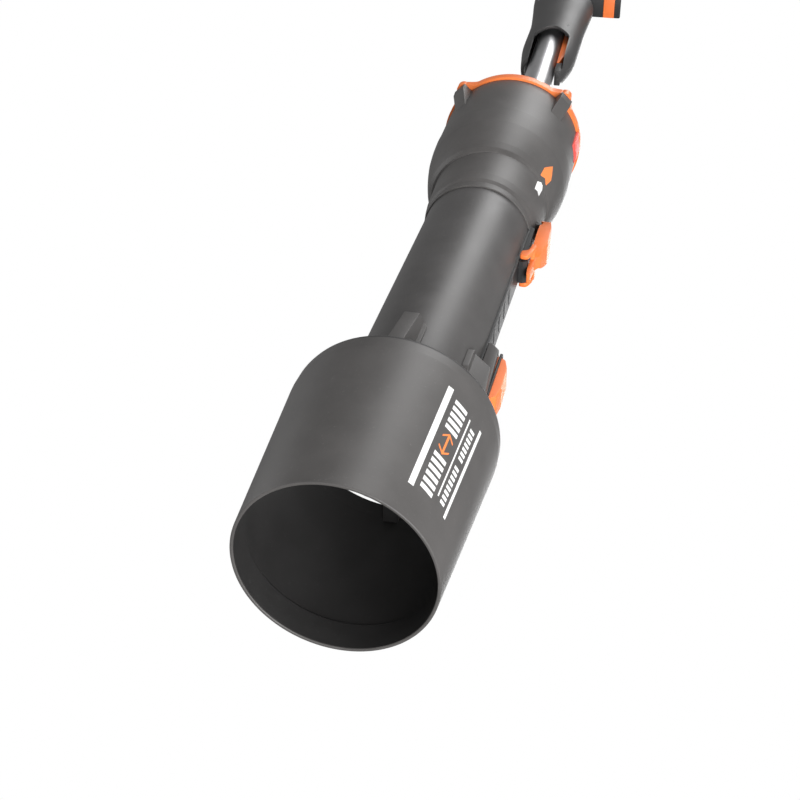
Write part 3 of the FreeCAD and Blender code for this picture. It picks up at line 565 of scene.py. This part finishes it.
def graphic():
    """Generic marks: three rules, two rows of ticks, a row of dashes and an arrow between."""
    print_patch("print_rule_top", bar(23, 109, 12.6, 16.4), "white_ink")
    print_patch("print_rule_middle", bar(32, 100, -4.6, -3.6), "white_ink")
    print_patch("print_rule_bottom", bar(25, 103, -15.8, -13.6), "white_ink")
    for index in range(6):
        start = 26 + index * 5.4
        print_patch("print_tick_front_%d" % index, slanted(start, start + 3.4, -0.6, 9.2), "white_ink")
    for index in range(5):
        start = 77.5 + index * 5.4
        print_patch("print_tick_rear_%d" % index, slanted(start, start + 3.4, -0.6, 9.2), "white_ink")
    for index in range(16):
        start = 30 + index * 4.2
        if index not in (8,):
            print_patch("print_dash_%d" % index, bar(start, start + 2.6, -11.0, -6.8), "white_ink")
    arrow = [(58.4, 4.3), (62.6, 8.4), (64.2, 8.4), (60.8, 5.0), (74.0, 5.0), (70.6, 8.4), (72.2, 8.4),
             (76.4, 4.3), (72.2, 0.2), (70.6, 0.2), (74.0, 3.6), (60.8, 3.6), (64.2, 0.2), (62.6, 0.2)]
    print_patch("print_arrow", arrow, "orange_ink")


# ---------------------------------------------------------------- blow tube and latch

def blow_tube():
    profile = rounded([(112, 36.7), (112, 38.7), (400, 38.7), (400, 36.7)], 0.8, 4)
    shell = lathe("blow_tube_shell", profile, "tube", segments=168)
    settle(shell, "fan_unit", "tube", "blow_tube")
    flat = [(-9, -37.2), (9, -37.2), (9, -39.4, 0.5), (-9, -39.4, 0.5)]
    rail = prism("blow_tube_rail", rounded(flat, 0.2), 112.6, 386, "black", axis="X", edge=0.25)
    settle(rail, "fan_unit", "tube")
    for index in range(6):
        back = 206 + index * 18
        notch = prism("rail_notch_%d" % index, rounded(rect(back, back + 6, -5.5, 5.5), 1.5), -39.62, -39.2,
                      "black", axis="Z", edge=0.15)
        settle(notch, "fan_unit", "black")


def latch():
    side = [(326, -46.2, 0.8), (332.5, -45.6), (360, -45.3), (388, -45.2), (390, -46.6), (397.8, -46.6),
            (398.2, -44.6, 0.8), (404.6, -44.5, 0.8), (407, -46.2, 1), (405.2, -48.8, 1.5), (399, -51.6, 3),
            (384, -54.2, 5), (365, -54.6, 6), (352, -52.2, 4), (345, -49.0, 2), (328, -48.4, 1),
            (326, -47.6, 0.7)]
    body = prism("tube_latch_body", rounded(side, 0.6, 5), -12, 12, "orange", edge=0)
    oval = ellipse(376, 0, 29.5, 10.2, 64)
    keep = prism("plan_tool", oval, -60, -40, "orange", axis="Z", edge=0)
    finger = prism("finger_tool", rounded([(325, -3.4), (356, -4.6), (356, 4.6), (325, 3.4)], 2), -60, -40,
                   "orange", axis="Z", edge=0)
    carve(keep, [finger], "UNION")
    carve(body, [keep], "INTERSECT")
    soften(body, 1.7, 4, 40)
    settle(body, "latch", "orange", "tube_latch")
    yoke = rounded([(345, -45.6), (352.5, -45.4), (352.5, -48.8, 1.5), (346, -48.6, 1.2)], 0.8)
    piece = prism("tube_latch_yoke", yoke, -12.9, 12.9, "orange", edge=0.8)
    settle(piece, "latch", "orange")
    for sign, tag in ((1, "l"), (-1, "r")):
        arm = rounded([(334.5, -39.6, 2.2), (341.5, -39.6, 2.2), (344.5, -44.4, 2), (352, -45.4, 1),
                       (351.5, -48.7, 1.5), (342, -48.0, 4), (334.5, -45.5, 3)], 1)
        low, high = sorted((9.5 * sign, 12.85 * sign))
        piece = prism("tube_latch_arm_" + tag, arm, low, high, "orange", edge=0.9)
        settle(piece, "latch", "orange")


# ---------------------------------------------------------------- fan housing and ring

def fan_housing():
    collar = [(380, 38.75, 0), (380, 39.9, 0.4), (386.5, 39.9, 0.5), (389.5, 41.3, 1), (397, 42.15, 2),
              (407, 42.45, 3), (420, 43.0, 4), (431, 43.7, 0), (431, 41.6, 0), (403, 36.9, 1),
              (403, 38.75, 0)]
    ring = lathe("housing_collar", rounded(collar, 0.5, 5), "body", segments=168)
    slot = prism("slot_tool", rect(370, 386.6, -46, -36.4), -9.2, 9.2, "body", edge=0)
    carve(ring, [slot])
    settle(ring, "fan_unit", "body", "fan_housing")
    flare = [(427.5, 41.6, 0), (428.4, 44.0, 1.2), (431.5, 46.5, 3), (438, 48.5, 6), (446, 50.3, 9),
             (455, 52.0, 9), (464, 53.35, 9), (475, 54.15, 9), (486.2, 54.5, 0.3), (486.9, 54.15, 0.3),
             (512, 54.25, 3), (541, 53.95, 0.6), (541, 51.9, 0.3), (486, 52.2, 4), (464, 51.1, 4),
             (446, 48.0, 4), (438, 46.2, 4), (430, 42.9, 2)]
    shell = lathe("housing_flare", rounded(flare, 0.5, 5), "body", FAN, segments=168)
    settle(shell, "fan_unit", "body")
    for index, degrees in enumerate(QUARTERS):
        side = rounded([(508, 52.4), (540.95, 52.4), (540.95, 61.9, 1.5), (532, 61.4, 4), (520, 56.6, 8)], 1)
        piece = prism("housing_boss_%d" % index, side, -5.6, 5.6, "body", FAN, edge=2.4, segments=5)
        about_axis(piece, degrees, FAN)
        settle(piece, "fan_unit", "body")
    lug = prism("catch_lug_cap", rounded(rect(392.6, 395.9, -45.5, -41), 0.6), -6.9, 6.9, "body", edge=0.5)
    settle(lug, "fan_unit", "body")
    mark()


def mark():
    """A generic badge on the flare: a small orange chevron and a white bar."""
    for name, cells, key in (
        ("housing_badge_chevron", [(432, 4.6), (441, 5.4), (452, 0), (441, -5.4), (432, -4.6), (435, 0)],
         "orange_ink"),
        ("housing_badge_bar", [(416, 3.6), (427, 4.2), (430, 0), (427, -4.2), (416, -3.6), (418, 0)],
         "white_ink"),
    ):
        mesh = bpy.data.meshes.new(name)
        form = sliced(cells, ((416, 453), (-7, 7)), 1.0)
        outline = [(407, 42.45), (420, 43.0), (427, 43.45), (429.2, 44.6), (431.5, 46.3), (438, 48.5),
                   (446, 50.3), (455, 52.0)]
        for vert in form.verts:
            back, way = vert.co.x, vert.co.y
            for (a, ra), (b, rb) in zip(outline, outline[1:]):
                if a <= back <= b:
                    reach = ra + (rb - ra) * (back - a) / (b - a) + 0.16
            angle = math.radians(BADGE_MIDDLE) + way / 46
            place = Vector((-back * MM, reach * MM * math.cos(angle), reach * MM * math.sin(angle)))
            vert.co = FAN @ place if back > 429 else place
        bmesh.ops.recalc_face_normals(form, faces=form.faces)
        form.to_mesh(mesh)
        form.free()
        obj = bpy.data.objects.new(name, mesh)
        bpy.context.collection.objects.link(obj)
        paint(obj, key)
        smooth(obj)
        settle(obj, "fan_unit", key)


def ring_outline(reach):
    """The flange's outline: a circle with four ears that slope into it."""
    points = []
    for step in range(720):
        angle = math.tau * step / 720
        r = reach
        off = (math.degrees(angle) - 45) % 90
        off = min(off, 90 - off)
        d = math.radians(off)
        side = EAR_REACH * math.sin(d)
        if side < EAR_RIM:
            r = max(r, EAR_REACH * math.cos(d) + math.sqrt(EAR_RIM ** 2 - side * side))
        elif off < 13.5:
            r = max(r, reach + 4.4 * ((13.5 - off) / 8.6) ** 1.6)
        points.append((r * math.sin(angle), r * math.cos(angle)))
    return points


def flange():
    outer = prism("flange_ring_body", ring_outline(55.7), 541.1, 548.2, "orange", FAN, axis="X", edge=0)
    hole = lathe("hole_tool", [(520, 0.01), (520, 51.7), (560, 51.7), (560, 0.01)], "orange", FAN,
                 segments=180)
    carve(outer, [hole])
    soften(outer, 0.9, 3, 40)
    settle(outer, "fan_unit", "orange", "flange_ring")
    for index, degrees in enumerate(QUARTERS):
        head = [(548.1, 3.4, 0.3), (550.6, 3.2, 0.5), (550.6, 1.7, 0.2), (549.1, 1.6, 0.2), (549.1, 0.01)]
        piece = lathe("flange_screw_head_%d" % index, rounded(head, 0.3, 4, False), "steel", closed=False,
                      segments=36)
        piece.data.transform(Matrix.Translation((0, 0, EAR_REACH * MM)))
        piece.data.transform(FAN)
        about_axis(piece, degrees, FAN)
        settle(piece, "fan_unit", "steel")
    tab = rounded([(515, 53.4), (540.9, 53.4), (540.9, 55.5, 0.8), (520, 55.3, 1.5), (515, 54.4, 0.5)], 0.5)
    side = prism("flange_tab", tab, -7.5, 7.5, "coral", FAN, edge=0.5)
    about_axis(side, 187, FAN)
    settle(side, "fan_unit", "coral")


# ---------------------------------------------------------------- guard and pole

def guard():
    line = [(546.2, 50.6), (553, 48.4), (561, 45.2), (569, 41.6), (577, 37.4), (585, 31.6), (592, 25.6),
            (599, 21.8)]
    for index in range(16):
        outer = [(a, b) for a, b in line]
        inner = [(a - 1.2, b - 3.4) for a, b in reversed(line)]
        rib = prism("guard_rib_%02d" % index, rounded(outer + inner, 1.2), -1.25, 1.25, "body", FAN, edge=0.5)
        about_axis(rib, 11.25 + 22.5 * index, FAN)
        settle(rib, "fan_unit", "body", *(["intake_guard"] if index == 0 else []))
    for index, (back, reach) in enumerate(((560, 44.3), (575, 37.2), (587, 28.7))):
        hoop = rounded(rect(back - 1.5, back + 1.5, reach - 1.7, reach + 1.7), 0.8)
        settle(lathe("guard_hoop_%d" % index, hoop, "body", FAN), "fan_unit", "body")
    rim = rounded([(546.1, 47), (546.1, 51.8), (549, 51.2, 1), (549, 47.4, 1)], 0.5)
    settle(lathe("guard_rim_ring", rim, "body", FAN), "fan_unit", "body")
    neck = rounded([(590.2, 17), (590.2, 23.4, 1), (599.9, 23.4, 1.5), (599.9, 17)], 0.4)
    piece = lathe("guard_neck_ring", neck, "body", FAN)
    core = lathe("core_tool", [(560, 0.01), (560, 16.65), (640, 16.65), (640, 0.01)], "body", POLE)
    carve(piece, [core])
    settle(piece, "fan_unit", "body")


def pole():
    tube = rounded([(596, 11), (596, 12.5), (815, 12.5), (815, 11)], 0.4)
    tube_piece = lathe("pole_tube", tube, "pole", POLE, segments=96)
    way = rounded([(678.05, -2.95), (775.95, -2.95), (775.95, 2.95), (678.05, 2.95)], 2.9, 8)
    slot = prism("slot_tool", way, -20, 0, "pole", POLE, axis="Z", edge=0)
    carve(tube_piece, [slot])
    settle(tube_piece, "fan_unit", "pole", "pole")
    socket = [(588, 12.56, 0.3), (588, 16.6, 0.8), (601.4, 16.6, 0.8), (601.4, 20.5, 1), (606, 20.5, 1.6),
              (609.5, 17.3, 2), (630, 16.2, 1), (632, 15.6, 0.8), (632, 12.56, 0.3)]
    piece = lathe("pole_socket_body", rounded(socket, 0.6, 5), "body", POLE)
    settle(piece, "fan_unit", "body", "pole_socket")
    for index in range(10):
        rib = prism("socket_rib_%d" % index, rounded([(606, 15.8), (607, 19.6, 1), (629, 17.0, 1),
                                                      (629, 15.8)], 0.5), -1, 1, "body", POLE, edge=0.35)
        about_axis(rib, 18 + 36 * index, POLE)
        settle(rib, "fan_unit", "body")


# ---------------------------------------------------------------- handle

# distance back, middle height, half height, half width of the handle's oval sections
OVALS = [
    (676, -1.5, 16, 15.5), (690, -2.3, 20.2, 18), (712, -3.3, 23.8, 19.5), (735, -3, 25.2, 20),
    (785, -3.6, 25.3, 20), (830, -3.2, 28, 20.5), (850, -2.7, 29.3, 20.6), (868, 0, 27.5, 19.5),
    (890, 6, 20.5, 17.5), (930, 7.5, 19, 17), (980, 7, 19.5, 17.3), (1015, 2, 28, 24),
    (1037, -4, 37, 31),
]


def oval_at(back):
    """The section at a distance back, on a smooth curve that never leaves its neighbours' range."""
    for index, (low, high) in enumerate(zip(OVALS, OVALS[1:])):
        if back <= high[0] or index == len(OVALS) - 2:
            break
    before = OVALS[max(index - 1, 0)]
    after = OVALS[min(index + 2, len(OVALS) - 1)]
    span = high[0] - low[0]
    t = min(max((back - low[0]) / span, 0), 1)
    result = []
    for axis in (1, 2, 3):
        rise = high[axis] - low[axis]
        first = (high[axis] - before[axis]) / (high[0] - before[0]) * span if before is not low else rise
        last = (after[axis] - low[axis]) / (after[0] - low[0]) * span if after is not high else rise
        if first * rise <= 0:
            first = 0
        if last * rise <= 0:
            last = 0
        first = math.copysign(min(abs(first), 2 * abs(rise)), rise) if rise else 0
        last = math.copysign(min(abs(last), 2 * abs(rise)), rise) if rise else 0
        h = (2 * t ** 3 - 3 * t ** 2 + 1) * low[axis] + (t ** 3 - 2 * t ** 2 + t) * first
        h += (-2 * t ** 3 + 3 * t ** 2) * high[axis] + (t ** 3 - t ** 2) * last
        result.append(h)
    return result


def oval_skin(name, front, back, grow, key, step=4.0, segments=72):
    """A closed solid through the oval sections."""
    rows = max(2, int((back - front) / step))
    verts = []
    faces = []
    for row in range(rows + 1):
        place = front + (back - front) * row / rows
        centre, high, wide = oval_at(place)
        for seg in range(segments):
            angle = math.tau * seg / segments
            verts.append((-place * MM, (wide + grow) * MM * math.sin(angle),
                          (centre + (high + grow) * math.cos(angle)) * MM))
    for row in range(rows):
        for seg in range(segments):
            a = row * segments + seg
            b = row * segments + (seg + 1) % segments
            faces.append((a, b, b + segments, a + segments))
    faces.append(tuple(range(segments)))
    faces.append(tuple(range(rows * segments, (rows + 1) * segments)))
    return new_object(name, verts, faces, key, POLE)


def stand_up(obj, back, degrees):
    """Turn a lathed piece to stand across the handle at a distance back."""
    obj.data.transform(Matrix.Rotation(math.radians(degrees), 4, "Y"))
    obj.data.transform(Matrix.Translation((-back * MM, 0, 0)))
    obj.data.transform(POLE)
    return obj


def lock_well(reach, key):
    """The tool that cuts the lock button's round hole."""
    cells = [(10, 0.01), (10, reach), (60, reach), (60, 0.01)]
    return stand_up(lathe("lock_tool", cells, key, segments=48), LOCK_BACK, 90)


def window(sign):
    """The rounded cut-out at one side of the handle's nose, where the pole shows."""
    cells = [(640, -19.6), (744, -19.6, 8), (755, -4, 12), (744, 12.4, 10), (640, 12.4)]
    low, high = sorted((6.0 * sign, 40.0 * sign))
    return prism("window_tool", rounded(cells, 0.1, 8), low, high, "body", POLE, edge=0)


def handle():
    for sign, tag in ((1, "left"), (-1, "right")):
        skin = oval_skin("handle_shell_" + tag, 677, HANDLE_BACK, 0, "grip_shell")
        core = oval_skin("core_tool", 660, 1045, -2.6, "painted_shade_inside")
        way = [(600, 0.01), (600, POLE_BORE), (853, POLE_BORE), (853, 0.01)]
        bore = lathe("bore_tool", way, "painted_shade_inside", POLE, segments=72)
        other = prism("half_tool", rect(600, 1100, -120, 120), *sorted((0.05 * sign, -80 * sign)),
                      "body", POLE, edge=0)
        lip = prism("lip_tool", rounded([(640, -6), (689, -6, 2), (692, 30, 6), (692, 60), (640, 60)], 0.1),
                    -40, 40, "body", POLE, edge=0)
        well = prism("trigger_tool", rounded(rect(857.5, 889, -70, -8), 1.5), -10.5, 10.5, "body", POLE,
                     edge=0)
        hole = lock_well(6.5, "body")
        tools = [core, bore, window(1), window(-1), lip, well, hole, other]
        for back, up in ((776, -19.5), (840, 20), (845, -21), (950, 7), (1015, -16)):
            recess = prism("screw_tool", ellipse(back, up, 3.5, 3.5, 32), -60, -12.2, "body", POLE,
                           edge=0)
            tools.append(recess)
        carve(skin, tools)
        soften(skin, 0.5, 2, 50)
        smooth(skin, 40)
        settle(skin, "handle", "body", "handle_" + tag)
    seam = oval_skin("handle_seam", 692, 1036, 0.02, "black")
    for sign in (1, -1):
        side = prism("seam_tool", rect(600, 1100, -120, 120), *sorted((0.28 * sign, 80 * sign)),
                     "black", POLE, edge=0)
        carve(seam, [side])
    inner = oval_skin("seam_core", 660, 1045, -0.8, "black")
    well = prism("trigger_tool", rect(857, 889.5, -70, -8), -12, 12, "black", POLE, edge=0)
    hole = prism("lock_tool", rect(904, 920, 10, 60), -12, 12, "black", POLE, edge=0)
    carve(seam, [inner, well, hole])
    settle(seam, "handle", "black")
    pad()
    liner = prism("nose_liner", rounded(rect(678.5, 697, -18.6, -13.3), 1), -7, 7, "grip_shell",
                  POLE, edge=0.5)
    settle(liner, "handle", "body")


def pad():
    """The rubber sleeve round the grip, with finger swells, fine side ribs and tapered ends."""
    rows = 96
    segments = 96
    verts = []
    faces = []
    for row in range(rows + 1):
        t = row / rows
        place = 892 + 86 * t
        centre, high, wide = oval_at(place)
        ease = min(1, t / 0.04, (1 - t) / 0.04)
        for seg in range(segments):
            angle = math.tau * seg / segments
            under = max(0, -math.cos(angle)) ** 2
            swell = 0.55 * under * math.cos(math.tau * t * 4)
            rib = 0.14 * math.cos(math.tau * t * 30) * max(0, abs(math.sin(angle)) - 0.4)
            grow = 0.03 + (0.62 + swell * 0.6 + rib) * math.sqrt(ease)
            verts.append((-place * MM, (wide + grow) * MM * math.sin(angle),
                          (centre + (high + grow) * math.cos(angle)) * MM))
    for row in range(rows):
        for seg in range(segments):
            a = row * segments + seg
            b = row * segments + (seg + 1) % segments
            faces.append((a, b, b + segments, a + segments))
    skin = new_object("grip_sleeve", verts, faces, "grip", POLE)
    hole = lock_well(7.4, "grip")
    thick = skin.modifiers.new("thick", "SOLIDIFY")
    thick.thickness = -0.0004
    thick.offset = -1
    apply_modifiers(skin)
    carve(skin, [hole])
    settle(skin, "handle", "grip", "grip_pad")


def lever():
    side = [(697.3, -13.4, 0.6), (766, -13.0, 0.8), (766, -18.1, 1.5), (752, -19.6), (740, -20.3, 4),
            (715, -18.9, 4), (700, -15.6, 2), (697.3, -14.8, 0.6)]
    body = prism("length_lever_body", rounded(side, 0.6, 5), -7.4, 7.4, "orange", POLE, edge=0.9)
    for index in range(5):
        back = 702 + index * 4.2
        cells = [(back, -24), (back + 1.4, -24), (back + 1.4, -15.6 - index * 0.75, 0.5),
                 (back, -15.4 - index * 0.75, 0.5)]
        cut = prism("notch_tool", rounded(cells, 0), -5.6, 5.6, "orange", POLE, edge=0)
        carve(body, [cut])
    cells = [(709.7, -14), (709.9, -10.8, 0.6), (714.1, -10.8, 0.6), (714.3, -14)]
    tooth = prism("lever_tooth", rounded(cells, 0.1), -2.2, 2.2, "orange", POLE, edge=0.5)
    settle(body, "length_release", "orange", "length_lever")
    settle(tooth, "length_release", "orange")


def trigger():
    side = [(860.7, -20), (860.7, -57.0, 1.6), (863, -57.7, 1), (868.5, -54.8, 2), (873.2, -44, 10),
            (876.4, -30, 10), (877.4, -15, 1), (868.5, -12.6, 1), (862.5, -14.2, 1)]
    body = prism("trigger_blade", rounded(side, 0.8, 5), -9.95, 9.95, "black", POLE, edge=1.0)
    groove = prism("groove_tool", rect(850, 862.0, -51.9, -40.7), -12, 12, "black", POLE, edge=0)
    carve(body, [groove])
    settle(body, "trigger_body", "black", "trigger")
    band = prism("trigger_band", rounded(rect(860.6, 862.6, -51.7, -40.9), 0.6), -9.9, 9.9, "orange", POLE,
                 edge=0.4)
    settle(band, "trigger_body", "orange", "trigger_inlay")
    profile = [(14, 0.01), (14, 3.5, 0.3), (20.3, 3.5), (20.3, 5.95, 0.5), (28.2, 5.95, 1.2), (28.9, 4.2, 2),
               (28.3, 0.01)]
    button = lathe("lock_cap", [(-a, b) for a, b in rounded(profile, 0.4, 5, False)], "orange",
                   closed=False, segments=64)
    stand_up(button, LOCK_BACK, -90)
    settle(button, "lock_off", "orange", "lock_button")


# ---------------------------------------------------------------- dock and battery

def box_round(name, front, back, low, high, half, key, radius, edge):
    cells = rounded([(-half, low), (half, low), (half, high), (-half, high)], radius, 8)
    return prism(name, cells, front, back, key, POLE, axis="X", edge=edge, segments=4)


def dock():
    plate = box_round("dock_plate", 1037.2, 1050, -62, 37, 36, "body", 9, 1.2)
    wide = prism("slot_tool", rect(-22.4, 22.4, -80, 30), 1041, 1046, "body", POLE, axis="X", edge=0)
    neck = prism("slot_tool", rect(-17.4, 17.4, -80, 30), 1045, 1060, "body", POLE, axis="X", edge=0)
    carve(plate, [wide, neck])
    settle(plate, "handle", "body", "battery_dock")
    lug = prism("hanging_eye", rounded(rect(1038.1, 1049.9, 35, 55.9), 5), -3.95, 3.95, "body", POLE,
                edge=0.8)
    eye = prism("eye_tool", ellipse(1044, 48, 4.5, 4.5, 48), -10, 10, "body", POLE, edge=0)
    carve(lug, [eye])
    settle(lug, "handle", "body")
    for sign, tag in ((1, "l"), (-1, "r")):
        for index in range(5):
            up = -46 + index * 17
            low, high = sorted((35.7 * sign, 36.0 * sign))
            cells = rounded(rect(1039.5, 1047.5, up, up + 6), 1.5)
            rib = prism("dock_rib_%s%d" % (tag, index), cells, low, high, "body", POLE, edge=0.1)
            settle(rib, "handle", "body")


def battery():
    case = box_round("battery_shell", 1051, 1098, -66, 34, 38, "body", 7, 2.4)
    well = prism("latch_tool", rounded(rect(1066.8, 1083.2, -10.2, 10.2), 2), 28.5, 60, "body", POLE,
                 axis="Z", edge=0)
    seam = prism("seam_tool", rect(1073.4, 1074.4, -90, 28), -60, 60, "body", POLE, edge=0)
    keep = box_round("seam_keep", 1060, 1090, -65.2, 33.2, 37.2, "body", 6, 0)
    carve(seam, [keep])
    vents = []
    for sign in (1, -1):
        for index in range(6):
            up = -48 + index * 9
            vents.append(prism("vent_tool", rounded(rect(1079, 1092, up, up + 3.2), 1.5),
                               *sorted((36.6 * sign, 45 * sign)), "body", POLE, edge=0))
    carve(case, [well, seam] + vents)
    settle(case, "battery", "body", "battery_case")
    for name, front, back, half in (("battery_rail_head", 1041.5, 1045.6, 21.9),
                                    ("battery_rail_neck", 1045.4, 1051.6, 16.9)):
        settle(box_round(name, front, back, -59.9, 19.9, half, "black", 2, 0.4), "battery", "black")
    panel = box_round("battery_gauge_panel", 1097.2, 1098.2, -28, -6, 17, "black", 4, 0.3)
    panel.data.transform(Matrix.Translation((0.0002, 0, 0)))
    settle(panel, "battery", "black")
    for index in range(4):
        left = -12 + index * 6.2
        light = prism("battery_lamp_%d" % index, rounded(rect(left, left + 4.2, -15.4, -12.6), 1.2), 1097.4,
                     1098.2, "white_ink", POLE, axis="X", edge=0.2)
        settle(light, "battery", "white_ink")
    press = prism("battery_gauge_button", rounded(rect(-5, 5, -24.5, -18.5), 2.9), 1097.4, 1098.25, "orange",
                  POLE, axis="X", edge=0.3)
    press.data.transform(Matrix.Translation((0.00005, 0, 0)))
    settle(press, "battery", "orange")
    cap = prism("battery_latch_cap", rounded(rect(1067.3, 1082.7, -9.7, 9.7), 2.2), 31.1, 36.9,
                "orange", POLE, axis="Z", edge=1.1)
    for index in range(3):
        back = 1071.5 + index * 3
        cut = prism("notch_tool", rounded(rect(back, back + 1.3, -6.5, 6.5), 0.5), 36.3, 50, "orange", POLE,
                    axis="Z", edge=0)
        carve(cap, [cut])
    settle(cap, "battery_release", "orange", "battery_latch")


nozzle()
graphic()
blow_tube()
latch()
fan_housing()
flange()
guard()
pole()
handle()
lever()
trigger()
dock()
battery()


# ---------------------------------------------------------------- floor, light and camera

def stage():
    mat, tree, shader = node_material("studio_floor")
    coords = tree.nodes.new("ShaderNodeTexCoord").outputs["Object"]
    cloud = noise(tree, coords, 3, 4.0)
    tree.links.new(ramp(tree, cloud, [(0.3, (0.80, 0.80, 0.80)), (0.7, (0.84, 0.84, 0.84))]),
                   shader.inputs["Base Color"])
    shader.inputs["Roughness"].default_value = 0.8
    mesh = bpy.data.meshes.new("floor")
    mesh.from_pydata([(-3.5, -3.0, -1.5), (2.4, -3.0, -1.5), (2.4, 3.0, -1.5), (-3.5, 3.0, -1.5)], [],
                     [(0, 1, 2, 3)])
    floor = bpy.data.objects.new("floor", mesh)
    bpy.context.collection.objects.link(floor)
    mesh.materials.append(mat)


def lamp(name, place, target, size, watts):
    data = bpy.data.lights.new(name, "AREA")
    data.shape = "RECTANGLE"
    data.size, data.size_y = size
    data.energy = watts
    obj = bpy.data.objects.new(name, data)
    bpy.context.collection.objects.link(obj)
    way = Vector(target) - Vector(place)
    obj.matrix_world = Matrix.Translation(place) @ way.to_track_quat("-Z", "Y").to_matrix().to_4x4()
    obj.visible_camera = False


def world():
    scene = bpy.context.scene
    sky = bpy.data.worlds.new("studio")
    scene.world = sky
    sky.use_nodes = True
    tree = sky.node_tree
    back = tree.nodes["Background"]
    back.inputs["Color"].default_value = (1, 1, 1, 1)
    path = tree.nodes.new("ShaderNodeLightPath")
    level = tree.nodes.new("ShaderNodeMapRange")
    level.inputs["To Min"].default_value = 0.26
    level.inputs["To Max"].default_value = 1.0
    tree.links.new(path.outputs["Is Camera Ray"], level.inputs["Value"])
    tree.links.new(level.outputs["Result"], back.inputs["Strength"])
    scene.view_settings.view_transform = "Standard"
    scene.view_settings.look = "None"


# The camera stands in front and to the left of the nozzle, a little below it, and is rolled.
RIGHT = Vector((-0.24027, -0.00728, -0.97068))
UP = Vector((-0.55698, 0.82001, 0.13172))
TOWARDS = Vector((0.79501, 0.5723, -0.20107))


def camera():
    data = bpy.data.cameras.new("camera")
    data.lens = 67.5
    data.sensor_width = 36
    data.clip_start = 0.01
    data.clip_end = 50
    obj = bpy.data.objects.new("camera", data)
    bpy.context.collection.objects.link(obj)
    turn = Matrix((RIGHT, UP, TOWARDS)).transposed().to_4x4()
    obj.matrix_world = Matrix.Translation((0.5748, 0.5301, -0.1825)) @ turn
    bpy.context.scene.camera = obj


stage()
world()
camera()
# name, place, target, size in metres, watts
LAMPS = [
    ("strip", (-2.0, 1.35, -0.45), (-0.35, 0, 0), (2.6, 0.7), 30),
    ("front", (1.3, 0.5, -0.9), (-0.3, 0, 0), (1.0, 1.0), 48),
    ("rim", (-1.75, -1.15, -0.15), (-0.35, 0, 0), (1.5, 0.7), 12),
    ("top", (-0.5, 0.3, 1.6), (-0.45, 0, 0), (1.6, 1.0), 9),
]
for setting in LAMPS:
    lamp(*setting)
